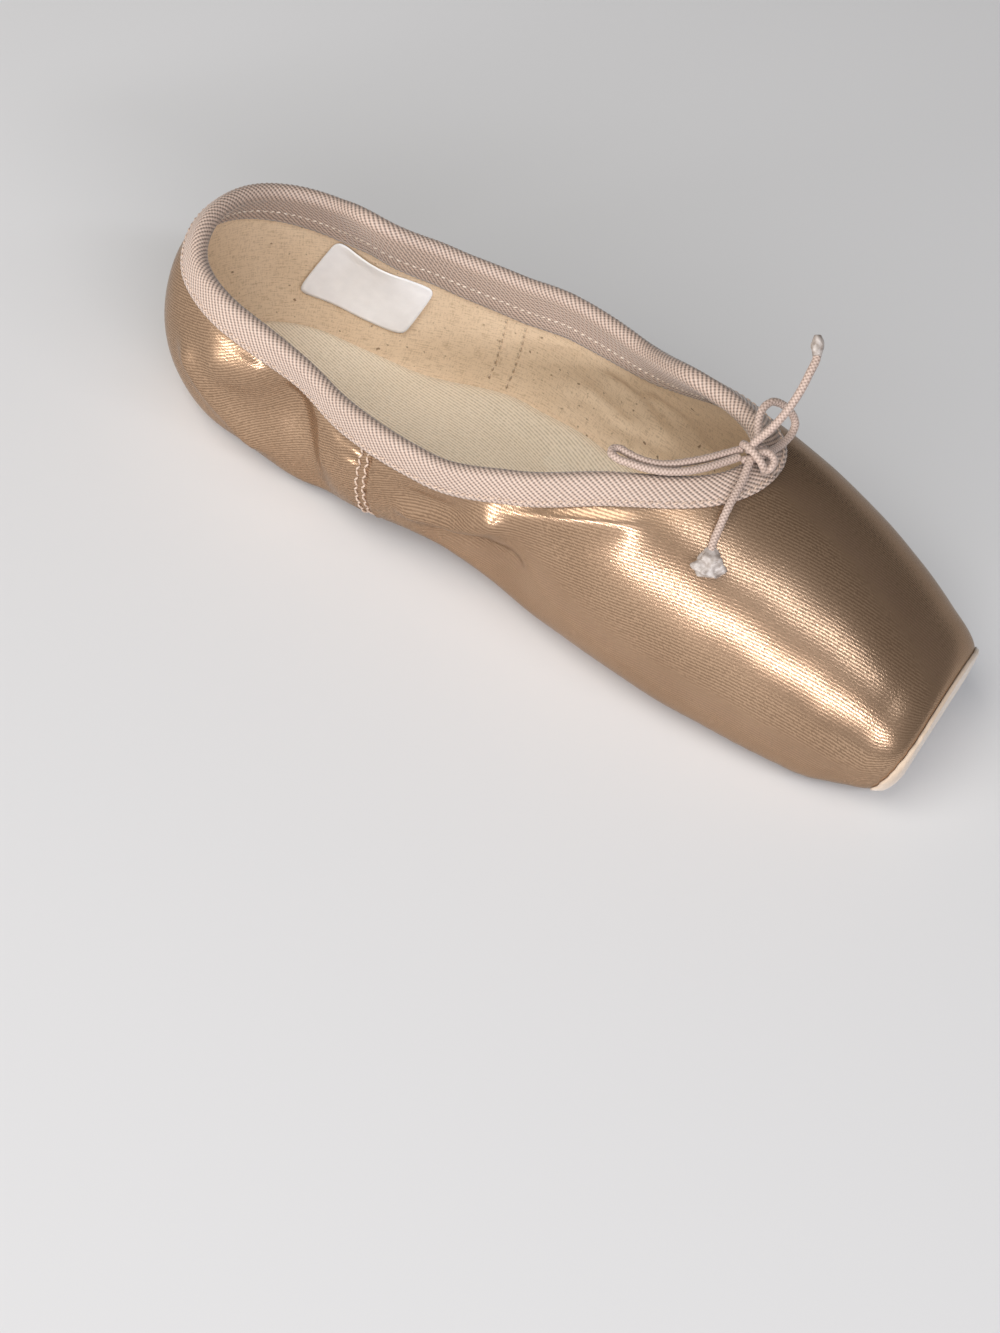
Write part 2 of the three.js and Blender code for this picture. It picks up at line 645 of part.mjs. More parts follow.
addPiece("upper", upperGeometry(), SATIN, 0.35);
addPiece("outsole", outsoleGeometry(), LEATHER, 0.7);
addPiece("insole", insoleGeometry(), CANVAS, 0.9);
addPiece("platform_patch", capGeometry(), SUEDE, 0.95);
addPiece("collar_binding", bindingGeometry(), TAPE_COLOUR, 0.6);
addPiece("drawstring_knot", roundGeometry(KNOT, upright), CORD_COLOUR, 0.6);
addPiece("drawstring_long_loop", cordGeometry(LONG_LOOP, CORD), CORD_COLOUR, 0.6);
addPiece("drawstring_small_loop", cordGeometry(SMALL_LOOP, CORD), CORD_COLOUR, 0.6);
addPiece("drawstring_standing_end", cordGeometry(STANDING_END, END_STEP), CORD_COLOUR, 0.6);
addPiece("drawstring_standing_tip", roundGeometry(STANDING_TIP, heading(STANDING_END, STANDING_TIP)), GLUE, 0.4);
addPiece("drawstring_lying_end", cordGeometry(LYING_END, END_STEP), CORD_COLOUR, 0.6);
addPiece("drawstring_lying_tip", roundGeometry(LYING_TIP, heading(LYING_END, LYING_TIP)), GLUE, 0.4);

export default group;
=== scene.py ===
"""Looks of a satin pointe shoe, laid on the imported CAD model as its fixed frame.

Places are in millimetres from the heel's back until a mesh is made, and then in metres in the CAD frame.
"""
import math

import bmesh
import bpy
import numpy as np
from mathutils import Matrix, Quaternion, Vector


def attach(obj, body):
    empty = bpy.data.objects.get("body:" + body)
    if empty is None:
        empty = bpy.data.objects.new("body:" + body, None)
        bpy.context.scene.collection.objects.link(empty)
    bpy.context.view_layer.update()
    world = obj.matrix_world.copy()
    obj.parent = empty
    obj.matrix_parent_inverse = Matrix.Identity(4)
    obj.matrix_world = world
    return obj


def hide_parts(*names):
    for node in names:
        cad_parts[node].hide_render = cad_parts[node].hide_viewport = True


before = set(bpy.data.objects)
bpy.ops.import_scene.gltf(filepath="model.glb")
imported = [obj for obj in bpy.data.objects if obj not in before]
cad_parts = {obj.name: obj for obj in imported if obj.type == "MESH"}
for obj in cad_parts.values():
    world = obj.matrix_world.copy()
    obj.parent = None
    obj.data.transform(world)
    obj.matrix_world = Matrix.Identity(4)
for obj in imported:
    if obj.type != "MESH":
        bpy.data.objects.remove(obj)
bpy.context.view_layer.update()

MM = 0.001
ROOT = "root"

# Distances that count as nothing, in millimetres, and those that are welded, in metres
TINY = 1e-12
TOUCH = 1e-9
SAME_PLACE = 1e-6
FINE_WELD = 1e-7
STITCH_WELD = 1e-6
CLOTH_WELD = 2e-6

# Sizes of the last, as in the CAD model
LENGTH = 239.0
HEEL_CENTRE = 38.0
THROAT = 173.5
PLATFORM_EDGE = 8.0
BODY_END = LENGTH - PLATFORM_EDGE
SEAM_GAP = 0.3
SOLE_THICKNESS = 2.2
SOLE_BACK = 10.0
SOLE_FRONT = 207.0
SOLE_HEEL_ROUND = 17.0
SOLE_TOE_ROUND = 30.0
INSOLE_THICKNESS = 1.8
INSOLE_FRONT = 222.0
INSOLE_TOE_ROUND = 26.0
LASTING_MARGIN = 12.0
MARGIN_FRONT = 199.0
MARGIN_ROUND = 34.0
CAP_THICKNESS = 0.8
CAP_BORDER_TOP = 0.92
CAP_BORDER_BELOW = 0.25
TAPE = 0.8
TAPE_GAP = 0.45
TAPE_OUTSIDE = 6.0
TAPE_INSIDE = 13.0
TAPE_CROWN = 0.9
CORD = 2.0
HEEL_FLAT_END = 57.0
BALL_FLAT_START = 140.0
BALL_FLAT_END = 182.0
ARCH_RISE = 5.9
TOE_SPRING = 2.4
MIDDLE_FROM_HEEL = (LENGTH + SEAM_GAP + CAP_THICKNESS) / 2
FLAT_SHARE = 0.2
SIDE_SHARE = 0.5
FOLDS_END = 0.85
THROAT_CROWDING = 1.7

# Ribs of the tape, and how much of its cloth lies over the edge
CROWN_CLOTH = 6.0
RIB_PITCH = 1.02
RIB_DIRECTION = (0.72, 0.69)
RIB_HEIGHT = 0.2

SECTION_COLUMNS = ("from_heel", "half_width", "flat", "widest", "crown", "wall")
SECTIONS = np.array([
    (0, 30.2, 21.0, 24.7, 66.1, 2.0),
    (38, 31.0, 23.3, 25.7, 74.2, 2.0),
    (66, 34.4, 26.0, 28.6, 79.4, 1.8),
    (96, 37.4, 24.6, 33.0, 81.5, 1.8),
    (125, 37.2, 21.5, 30.0, 76.5, 2.0),
    (155, 38.3, 24.0, 23.4, 68.8, 2.3),
    (174, 39.0, 26.6, 21.4, 63.7, 2.5),
    (195, 37.7, 27.0, 20.0, 55.7, 2.7),
    (216, 34.5, 28.0, 17.2, 44.4, 3.0),
    (BODY_END, 29.3, 22.5, 15.8, 34.4, 3.0),
])

COLLAR_COLUMNS = ("from_heel", "right", "left")
COLLAR = np.array([
    (0, 53.9, 53.9),
    (15, 50.4, 51.2),
    (30, 49.9, 49.9),
    (44, 48.4, 52.2),
    (60, 45.7, 49.6),
    (72, 44.1, 47.9),
    (86, 44.5, 47.8),
    (103, 44.4, 50.6),
    (125, 50.7, 51.5),
    (148, 59.4, 62.1),
    (THROAT, 63.84, 63.84),
])

SOLE_COLUMNS = ("from_heel", "half_width")
SOLE_OUTLINE = np.array([
    (SOLE_BACK, 18.5),
    (36, 18.5),
    (62, 16.5),
    (97, 15.0),
    (132, 19.0),
    (160, 23.0),
    (185, 22.5),
    (SOLE_FRONT, 18.0),
])

# Large slack of the quarters, as in the CAD model: side, from heel, height, depth inwards, reach along, up
FOLDS = (
    (-1, 60, 32, 4.0, 13, 13),
    (-1, 36, 40, -2.0, 15, 13),
    (-1, 84, 22, -2.0, 12, 14),
    (-1, 117, 17, 6.0, 19, 12),
    (1, 50, 48, 3.0, 12, 18),
    (1, 140, 58, 4.8, 17, 14),
)

# Creases of the satin: side, places passed as from heel and height, depth inwards, width.
# A negative depth stands out.
CREASES = (
    (-1, ((57, 33), (60, 27), (64, 20), (68, 11)), 2.4, 6.5),
    (-1, ((26, 27), (36, 20), (47, 12)), -3.2, 5.0),
    (-1, ((37, 33), (47, 35)), -2.6, 6.0),
    (-1, ((67, 40), (72, 24)), -1.2, 4.0),
    (-1, ((76, 34), (80, 30)), -1.0, 2.2),
    (-1, ((100, 24), (113, 27), (124, 37)), -2.2, 3.2),
    (-1, ((127, 40), (138, 47), (152, 54)), -1.2, 5.0),
    (-1, ((98, 31), (112, 34)), 1.0, 3.5),
    (-1, ((108, 17), (119, 22), (130, 27)), 2.4, 3.6),
    (1, ((62, 40), (70, 16)), 1.0, 4.5),
    (1, ((38, 24), (50, 12)), -2.0, 6.0),
    (1, ((100, 26), (120, 30)), -1.5, 4.0),
    (1, ((104, 18), (126, 23)), 1.3, 4.0),
)

# Wrinkles of the lining: side, places passed, depth, width
LINING_WRINKLES = (
    (1, ((112, 24), (126, 20)), -0.9, 1.6),
    (1, ((118, 31), (128, 29), (136, 23)), -1.2, 1.8),
    (1, ((132, 32), (141, 30), (150, 24)), -1.2, 2.0),
    (1, ((121, 18), (140, 18)), 0.8, 2.0),
    (1, ((92, 26), (108, 33)), -0.4, 2.0),
    (-1, ((104, 20), (124, 24)), -0.6, 2.0),
)

# The drawstring's bow, as in the CAD model: from the throat, across, above the floor
LONG_LOOP = (
    (-3.3, -5.5, 67.1),
    (-5.4, -8.7, 66.6),
    (-8.3, -12.9, 66.0),
    (-12.0, -16.9, 65.4),
    (-15.9, -19.6, 64.9),
    (-20.0, -21.2, 64.5),
    (-24.0, -22.0, 64.2),
    (-27.4, -22.4, 64.0),
    (-29.3, -21.7, 63.9),
    (-29.7, -20.3, 64.0),
    (-28.6, -19.3, 64.1),
    (-26.4, -19.4, 64.2),
    (-23.2, -19.4, 64.3),
    (-19.4, -18.6, 64.6),
    (-15.9, -16.6, 65.0),
    (-12.9, -13.9, 65.6),
    (-9.7, -10.4, 66.2),
    (-6.8, -6.6, 66.8),
    (-4.0, -2.9, 67.4),
)
SMALL_LOOP = (
    (-1.5, 0.6, 68.4),
    (-2.9, 2.4, 70.0),
    (-4.2, 4.2, 72.2),
    (-4.6, 6.4, 74.0),
    (-3.7, 8.9, 74.7),
    (-1.5, 11.4, 73.2),
    (0.9, 13.0, 70.6),
    (2.5, 13.0, 68.2),
    (3.0, 11.0, 66.7),
    (2.7, 7.6, 66.0),
    (2.1, 4.0, 66.3),
    (1.7, 1.2, 66.9),
)
STANDING_END = (
    (-1.9, -3.4, 69.2),
    (-1.6, -2.6, 70.8),
    (0.5, -0.6, 75.1),
    (2.0, 2.6, 79.6),
    (2.7, 6.0, 84.2),
    (2.6, 9.4, 88.0),
    (2.2, 12.4, 90.3),
    (0.2, 14.8, 92.6),
)
LYING_END = (
    (-0.6, -4.4, 67.7),
    (-0.1, -7.0, 66.7),
    (0.5, -9.6, 65.5),
    (0.9, -13.1, 64.1),
    (1.3, -17.2, 62.1),
    (1.9, -21.4, 58.8),
    (2.5, -24.6, 56.1),
    (4.0, -27.6, 53.3),
    (5.0, -29.2, 51.7),
)
KNOT = np.array((0.5, -3.2, 67.8))

# Camera, from the photograph's outline of the shoe: degrees, millimetres and pixels of the photograph
CAMERA_AZIMUTH = 22.36
CAMERA_ELEVATION = 50.18
CAMERA_ROLL = 12.87
CAMERA_DISTANCE = 539.3
CAMERA_TARGET = np.array((133.94, -35.39, -13.07))
FOCAL_PIXELS = 2020.0
FRAME_LONG_SIDE = 1333.0
SENSOR_MM = 36.0
CLIP_START = 0.01
CLIP_END = 50.0


def to_frame(points):
    """Millimetres from the heel's back to metres in the CAD frame."""
    return (np.asarray(points, float) - (MIDDLE_FROM_HEEL, 0.0, 0.0)) * MM


def unit(vectors):
    return vectors / np.maximum(np.linalg.norm(vectors, axis=-1, keepdims=True), TINY)


def table_curve(table, columns, name, at):
    """Smooth monotone curve through one column of a table, by distance from the heel."""
    xs = table[:, 0]
    ys = table[:, columns.index(name)]
    at = np.clip(np.asarray(at, float), xs[0], xs[-1])
    rise = np.diff(ys) / np.diff(xs)
    slope = np.empty_like(ys)
    slope[0] = rise[0]
    slope[-1] = rise[-1]
    product = rise[:-1] * rise[1:]
    total = rise[:-1] + rise[1:]
    slope[1:-1] = np.where(product <= 0, 0, 2 * product / np.where(total == 0, 1, total))
    k = np.clip(np.searchsorted(xs, at, side="left") - 1, 0, len(xs) - 2)
    span = xs[k + 1] - xs[k]
    s = (at - xs[k]) / span
    start = ys[k] * (1 + 2 * s) + slope[k] * span * s
    end = ys[k + 1] * (3 - 2 * s) + slope[k + 1] * span * (s - 1)
    return start * (1 - s) ** 2 + end * s**2


def section_column(name, at):
    return table_curve(SECTIONS, SECTION_COLUMNS, name, at)


def smooth(x, low, high):
    t = np.clip((x - low) / (high - low), 0, 1)
    return t * t * (3 - 2 * t)


def bump_at(x, middle, width):
    return np.exp(-(((x - middle) / width) ** 2))


def distance_along(points):
    """Distance gone at each point of a route."""
    return np.concatenate([[0], np.cumsum(np.linalg.norm(np.diff(points, axis=0), axis=1))])


def direction_to(azimuth, elevation):
    """From the shoe towards a place around it: degrees from its right side, and up."""
    a, e = np.radians((azimuth, elevation))
    return np.array((math.sin(a) * math.cos(e), -math.cos(a) * math.cos(e), math.sin(e)))


def put_in_scene(name, data):
    made = bpy.data.objects.new(name, data)
    bpy.context.scene.collection.objects.link(made)
    return made


# The last's own surface
def ground_at(from_heel):
    from_heel = np.asarray(from_heel, float)
    share = np.clip((from_heel - HEEL_FLAT_END) / (BALL_FLAT_START - HEEL_FLAT_END), 0, 1)
    spring = np.maximum(0, from_heel - BALL_FLAT_END) / (LENGTH - BALL_FLAT_END)
    return ARCH_RISE * np.sin(np.pi * share) ** 2 + TOE_SPRING * spring**2


def last_bottom(from_heel):
    return ground_at(from_heel) + SOLE_THICKNESS + SEAM_GAP


def from_heel_of(station):
    turn = np.clip(1 - station, 0, 1) * np.pi / 2
    along = HEEL_CENTRE + (np.clip(station, 1, 2) - 1) * (BODY_END - HEEL_CENTRE)
    return np.where(station < 1, HEEL_CENTRE * (1 - np.sin(turn)), along)


def station_of(from_heel):
    return 1 + (np.asarray(from_heel, float) - HEEL_CENTRE) / (BODY_END - HEEL_CENTRE)


def section_point(from_heel, girth):
    half = section_column("half_width", from_heel)
    flat = section_column("flat", from_heel)
    widest = section_column("widest", from_heel)
    crown = section_column("crown", from_heel)
    bottom = last_bottom(from_heel)
    low = np.clip((girth - FLAT_SHARE) / (SIDE_SHARE - FLAT_SHARE), 0, 1) * np.pi / 2
    high = np.clip((girth - SIDE_SHARE) / (1 - SIDE_SHARE), 0, 1) * np.pi / 2
    side_across = np.where(girth < SIDE_SHARE, flat + (half - flat) * np.sin(low), half * np.cos(high))
    across = np.where(girth < FLAT_SHARE, flat * girth / FLAT_SHARE, side_across)
    low_height = widest - (widest - bottom) * np.cos(low)
    height = np.where(girth < SIDE_SHARE, low_height, widest + (crown - widest) * np.sin(high))
    return across, height


def last_point(station, girth, side):
    """A point of the last's outside.

    Stations go from 0 to 1 round the heel, to 2 along the foot, to 3 over the platform's edge, to 4 on it.
    """
    station, girth, side = np.broadcast_arrays(
        np.asarray(station, float), np.asarray(girth, float), np.asarray(side, float)
    )
    side = side * np.where((girth > 1) | (girth < 0), -1, 1) * np.where(station < 0, -1, 1)
    girth = np.abs(np.where(girth > 1, 2 - girth, girth))
    station = np.abs(station)
    turn = np.clip(1 - station, 0, 1) * np.pi / 2
    from_heel = from_heel_of(station)
    across, height = section_point(from_heel, girth)
    share = across / section_column("half_width", from_heel)
    heel = station < 1
    x = np.where(heel, HEEL_CENTRE * (1 - np.sin(turn) * share), from_heel)
    heel_half = section_column("half_width", HEEL_CENTRE)
    y = side * np.where(heel, heel_half * np.cos(turn) * share, across)
    toe = station > 2
    before_across, before_height = section_point(BODY_END - 1, girth)
    corner_across = across + (across - before_across) * PLATFORM_EDGE
    corner_height = height + (height - before_height) * PLATFORM_EDGE
    inwards = np.clip(4 - station, 0, 1)
    half = section_column("half_width", BODY_END)
    crown = section_column("crown", BODY_END)
    bottom = last_bottom(BODY_END)
    middle = (crown + bottom) / 2
    flat_across = across * (1 - PLATFORM_EDGE / half) * inwards
    flat_height = middle + (height - middle) * (1 - 2 * PLATFORM_EDGE / (crown - bottom)) * inwards
    bend = np.clip(station - 2, 0, 1)
    start, turn_share, end = (1 - bend) ** 2, 2 * bend * (1 - bend), bend**2
    x = np.where(toe, BODY_END * start + LENGTH * (turn_share + end), x)
    y = np.where(toe, side * (across * start + corner_across * turn_share + flat_across * end), y)
    tip_height = height * start + corner_height * turn_share + flat_height * end
    slack = smooth(girth, FLAT_SHARE, SIDE_SHARE) * (1 - smooth(girth, FOLDS_END, 1)) * np.cos(turn)
    for fold_side, fold_x, fold_z, depth, reach, tall in FOLDS:
        near = np.exp(-(((x - fold_x) / reach) ** 2) - ((height - fold_z) / tall) ** 2)
        y = y - np.where(side == fold_side, side * depth * near * slack, 0)
    return np.stack([x, y, np.where(toe, tip_height, height)], -1)


SLOPE_STEP = 1e-3


def last_slopes(station, girth, side):
    forward = last_point(station + SLOPE_STEP, girth, side) - last_point(station - SLOPE_STEP, girth, side)
    up = last_point(station, girth + SLOPE_STEP, side) - last_point(station, girth - SLOPE_STEP, side)
    return forward / (2 * SLOPE_STEP), up / (2 * SLOPE_STEP)


def last_normal(station, girth, side):
    forward, up = last_slopes(station, girth, side)
    normal = unit(np.cross(forward, up) * -np.broadcast_to(side, forward.shape[:-1])[..., None])
    flat_tip = np.broadcast_to(np.asarray(station) >= 3, forward.shape[:-1])[..., None]
    return np.where(flat_tip, (1.0, 0.0, 0.0), normal)


def off_last(station, girth, side, distance):
    away = np.broadcast_to(distance, np.broadcast(station, girth, side).shape)[..., None]
    return last_point(station, girth, side) + last_normal(station, girth, side) * away


def wall_at(station):
    return section_column("wall", from_heel_of(station))


def collar_girth(station, side):
    from_heel = from_heel_of(station)
    widest = section_column("widest", from_heel)
    crown = section_column("crown", from_heel)
    right = table_curve(COLLAR, COLLAR_COLUMNS, "right", from_heel)
    height = np.where(side < 0, right, table_curve(COLLAR, COLLAR_COLUMNS, "left", from_heel))
    share = np.clip((height - widest) / (crown - widest), 0, 1)
    girth = SIDE_SHARE + (1 - SIDE_SHARE) * np.arcsin(share) / (np.pi / 2)
    return np.where(from_heel >= THROAT - SAME_PLACE, 1, girth)


def margin_girth(station):
    from_heel = from_heel_of(station)
    flat = section_column("flat", from_heel)
    past = np.clip(1 - (MARGIN_FRONT - from_heel) / MARGIN_ROUND, 0, 1)
    girth = FLAT_SHARE * (flat - LASTING_MARGIN) / flat * np.sqrt(1 - past * past)
    return np.where(from_heel >= MARGIN_FRONT - SAME_PLACE, 0, girth)


def girth_at_height(from_heel, height):
    """Girth share of the place at a height on the side wall."""
    widest = section_column("widest", from_heel)
    crown = section_column("crown", from_heel)
    bottom = last_bottom(from_heel)
    low = np.arccos(np.clip((widest - height) / (widest - bottom), 0, 1)) / (np.pi / 2)
    high = np.arcsin(np.clip((height - widest) / (crown - widest), 0, 1)) / (np.pi / 2)
    low_girth = FLAT_SHARE + (SIDE_SHARE - FLAT_SHARE) * low
    return np.where(height < widest, low_girth, SIDE_SHARE + (1 - SIDE_SHARE) * high)


def crease_depth(points, side, creases):
    """How far a list of creases pushes the wall in, at points on it."""
    depth = np.zeros(points.shape[:-1])
    spot = points[..., (0, 2)]
    for crease_side, path, deep, width in creases:
        if crease_side != side:
            continue
        away = np.full(depth.shape, np.inf)
        for start, end in zip(np.array(path[:-1], float), np.array(path[1:], float)):
            run = end - start
            share = np.clip(((spot - start) @ run) / (run @ run), 0, 1)
            away = np.minimum(away, np.linalg.norm(spot - start - share[..., None] * run, axis=-1))
        depth += deep * np.exp(-((away / width) ** 2))
    return depth


# Meshes from grids of points
def grid_faces(rows, columns, flip=False):
    here = np.arange(rows - 1)[:, None] * columns + np.arange(columns - 1)
    ahead = here + columns
    corners = [here, ahead, ahead + 1, here + 1]
    if flip:
        corners.reverse()
    return np.stack(corners, -1).reshape(-1, 4)


class Patchwork:
    """Collects grids of points into one mesh, with cloth coordinates in millimetres and materials."""

    def __init__(self):
        self.points = []
        self.cloth = []
        self.faces = []
        self.slots = []
        self.count = 0

    def add(self, points, cloth, faces, slot=0):
        points = np.asarray(points, float).reshape(-1, 3)
        self.points.append(points)
        self.cloth.append(np.asarray(cloth, float).reshape(-1, 2))
        self.faces.append(faces + self.count)
        self.slots.append(np.full(len(faces), slot))
        self.count += len(points)

    def grid(self, points, cloth, flip=False, slot=0):
        rows, columns = points.shape[:2]
        self.add(points, cloth, grid_faces(rows, columns, flip), slot)

    def make(self, name, materials, weld=FINE_WELD):
        points = to_frame(np.concatenate(self.points))
        faces = np.concatenate(self.faces)
        cloth = np.concatenate(self.cloth)
        mesh = bpy.data.meshes.new(name)
        mesh.from_pydata(points.tolist(), [], faces.tolist())
        layer = mesh.uv_layers.new(name="cloth")
        layer.data.foreach_set("uv", cloth[faces.reshape(-1)].reshape(-1))
        mesh.polygons.foreach_set("material_index", np.concatenate(self.slots).astype(np.int32))
        for material in materials:
            mesh.materials.append(material)
        body = bmesh.new()
        body.from_mesh(mesh)
        bmesh.ops.remove_doubles(body, verts=body.verts, dist=weld)
        bmesh.ops.dissolve_degenerate(body, edges=body.edges, dist=weld)
        for face in body.faces:
            face.smooth = True
        body.to_mesh(mesh)
        body.free()
        return put_in_scene(name, mesh)


def lay(piece, slot, *nodes):
    """Rides a piece on the shoe and hides the CAD nodes it stands for. The slot is not used."""
    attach(piece, ROOT)
    if nodes:
        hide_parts(*nodes)
    return piece


# Tubes along a route
CORD_SIDES = 16
CORD_STEP = 0.28
PLAIT_PITCH = 2.4
PLAIT_STRANDS = 4
PLAIT_RELIEF = 0.045
PLAIT_LEVEL = 0.6  # the relief at which the cord has its own radius
END_BULGE = 0.6  # of the radius
END_RINGS = (0.0, 0.7)
NEARLY_UPRIGHT = 0.1


def between(t, start, end, first, second):
    """From a first value to a second, by where t lies from start to end."""
    return (end - t) / (end - start) * first + (t - start) / (end - start) * second


def catmull_rom(route):
    """Points of a centripetal Catmull-Rom curve through a route, about a cord step apart."""
    route = np.asarray(route, float)
    ends = np.vstack([2 * route[0] - route[1], route, 2 * route[-1] - route[-2]])
    points = []
    for p0, p1, p2, p3 in zip(ends, ends[1:], ends[2:], ends[3:]):
        gaps = [max(np.linalg.norm(b - a), TOUCH) ** 0.5 for a, b in ((p0, p1), (p1, p2), (p2, p3))]
        t0, t1, t2, t3 = np.cumsum([0.0, *gaps])
        count = max(2, int(round(np.linalg.norm(p2 - p1) / CORD_STEP)))
        t = np.linspace(t1, t2, count + 1)[:-1, None]
        a1 = between(t, t0, t1, p0, p1)
        a2 = between(t, t1, t2, p1, p2)
        a3 = between(t, t2, t3, p2, p3)
        b1 = between(t, t0, t2, a1, a2)
        b2 = between(t, t1, t3, a2, a3)
        points.append(between(t, t1, t2, b1, b2))
    points.append(route[-1:])
    return np.vstack(points)


def carried_frames(points):
    """Directions along a curve and two across it, carried along without twist."""
    along = unit(np.gradient(points, axis=0))
    first = np.cross(along[0], (0.0, 0.0, 1.0))
    if np.linalg.norm(first) < NEARLY_UPRIGHT:
        first = np.cross(along[0], (0.0, 1.0, 0.0))
    across = [unit(first)]
    for direction in along[1:]:
        turned = across[-1] - direction * (across[-1] @ direction)
        across.append(unit(turned))
    across = np.array(across)
    return along, across, np.cross(along, across)


def rings_round(points, across, other, radius, angle):
    """Rings of points round a route, with a radius for each place and angle."""
    sideways = across[:, None] * (radius * np.cos(angle))[..., None]
    return points[:, None] + sideways + other[:, None] * (radius * np.sin(angle))[..., None]


def closed_end(centre, bulge, ring, shares):
    """Rings that close a tube in a low dome, each a share of its last ring."""
    return np.array([centre + bulge * (1 - share * share) + (ring - centre) * share for share in shares])


def add_cord(patchwork, points):
    """A tube with a plaited surface and closed round ends."""
    along, across, other = carried_frames(points)
    distance = distance_along(points)
    angle = np.linspace(0, 2 * np.pi, CORD_SIDES + 1)
    turn = PLAIT_STRANDS * angle[None, :]
    run = 2 * np.pi * distance[:, None] / PLAIT_PITCH
    relief = np.maximum(np.cos(turn + run), np.cos(turn - run))
    radius = CORD / 2 * (1 + PLAIT_RELIEF * (relief - PLAIT_LEVEL))
    ring = rings_round(points, across, other, radius, angle)
    start = closed_end(points[0], -along[0] * radius[0, 0] * END_BULGE, ring[0], END_RINGS)
    end = closed_end(points[-1], along[-1] * radius[-1, 0] * END_BULGE, ring[-1], END_RINGS[::-1])
    pad = np.pad(distance, len(END_RINGS), "edge")
    cloth = np.stack(np.broadcast_arrays(pad[:, None], angle[None, :]), -1)
    patchwork.grid(np.concatenate([start, ring, end]), cloth, flip=True)


def from_throat(route):
    return np.asarray(route, float) + (THROAT, 0.0, 0.0)


# Camera
def camera_axes():
    """Directions to the right, up and back of the camera."""
    back = direction_to(CAMERA_AZIMUTH, CAMERA_ELEVATION)
    level = unit(np.cross(-back, (0.0, 0.0, 1.0)))
    upright = np.cross(level, -back)
    roll = math.radians(CAMERA_ROLL)
    right = math.cos(roll) * level + math.sin(roll) * upright
    up = -math.sin(roll) * level + math.cos(roll) * upright
    return np.array((right, up, back))


def make_camera():
    axes = camera_axes()
    data = bpy.data.cameras.new("photo_camera")
    data.sensor_width = SENSOR_MM
    data.lens = FOCAL_PIXELS / FRAME_LONG_SIDE * SENSOR_MM
    data.clip_start = CLIP_START
    data.clip_end = CLIP_END
    camera = put_in_scene("photo_camera", data)
    turn = Matrix(axes.tolist()).transposed().to_4x4()
    place = to_frame(CAMERA_TARGET + axes[2] * CAMERA_DISTANCE)
    camera.matrix_world = Matrix.Translation(Vector(place)) @ turn
    bpy.context.scene.camera = camera


make_camera()


# Materials
class Surface:
    """A principled material with helpers for procedural patterns on the cloth coordinates or in space."""

    def __init__(self, name, **values):
        self.material = bpy.data.materials.new(name)
        self.material.use_nodes = True
        self.tree = self.material.node_tree
        self.tree.nodes.clear()
        self.shader = self.add("BsdfPrincipled")
        output = self.add("OutputMaterial")
        self.tree.links.new(self.shader.outputs[0], output.inputs[0])
        for key, value in values.items():
            self.shader.inputs[key.replace("_", " ").title().replace("Ior", "IOR")].default_value = value
        self.cloth = self.add("UVMap", uv_map="cloth").outputs[0]
        self.space = self.add("TexCoord").outputs["Object"]

    def add(self, kind, inputs=None, **settings):
        """A new shader node with its settings, and its inputs linked or set."""
        made = self.tree.nodes.new("ShaderNode" + kind)
        for name, value in settings.items():
            setattr(made, name, value)
        for key, value in (inputs or {}).items():
            if isinstance(value, bpy.types.NodeSocket):
                self.tree.links.new(value, made.inputs[key])
            else:
                made.inputs[key].default_value = value
        return made

    def math(self, operation, *values):
        return self.add("Math", dict(enumerate(values)), operation=operation).outputs[0]

    def scaled(self, vector, scale):
        return self.add("VectorMath", {0: vector, 1: (*scale, 0.0)}, operation="MULTIPLY").outputs[0]

    def turned(self, vector, degrees):
        inputs = {"Vector": vector, "Angle": math.radians(degrees)}
        return self.add("VectorRotate", inputs, rotation_type="Z_AXIS").outputs[0]

    def noise(self, vector, scale, detail, rough=0.5):
        inputs = {"Vector": vector, "Scale": scale, "Detail": detail, "Roughness": rough}
        return self.add("TexNoise", inputs).outputs[0]

    def stripes(self, direction, pitch, shift=0.0):
        """A wave across the cloth, from 0 to 1, one ridge for each pitch in millimetres along a direction."""
        turns = [2 * math.pi / pitch * part for part in direction]
        place = self.add("VectorMath", {0: self.cloth, 1: (*turns, 0)}, operation="DOT_PRODUCT")
        phase = self.math("ADD", place.outputs["Value"], shift)
        return self.math("MULTIPLY_ADD", self.math("SINE", phase), 0.5, 0.5)

    def ramp(self, value, *stops):
        """A colour that goes from one stop's to the other's."""
        made = self.add("ValToRGB", {0: value})
        for element, (place, colour) in zip(made.color_ramp.elements, stops):
            element.position = place
            element.color = (*colour, 1.0)
        return made.outputs[0]

    def mix(self, share, first, second):
        inputs = {0: share, 6: first, 7: (*second, 1.0)}
        return self.add("Mix", inputs, data_type="RGBA").outputs[2]

    def thread_shaded(self, colour, thread, low, dark, high):
        """A colour with painted shade where the threads lie low."""
        low_thread_shade = self.ramp(thread, (low, dark), (high, (1.0, 1.0, 1.0)))
        inputs = {0: 1.0, 6: colour, 7: low_thread_shade}
        return self.add("Mix", inputs, data_type="RGBA", blend_type="MULTIPLY").outputs[2]

    def sum(self, *terms):
        """Adds socket and weight pairs."""
        parts = [self.math("MULTIPLY", socket, weight) for socket, weight in terms]
        total = parts[0]
        for part in parts[1:]:
            total = self.math("ADD", total, part)
        return total

    def drive(self, name, socket):
        self.tree.links.new(socket, self.shader.inputs[name])

    def finished(self, colour, relief, depth_mm, strength):
        """The material, with its colour and its relief."""
        inputs = {"Height": relief, "Distance": depth_mm * MM, "Strength": strength}
        self.drive("Base Color", colour)
        self.drive("Normal", self.add("Bump", inputs).outputs[0])
        return self.material


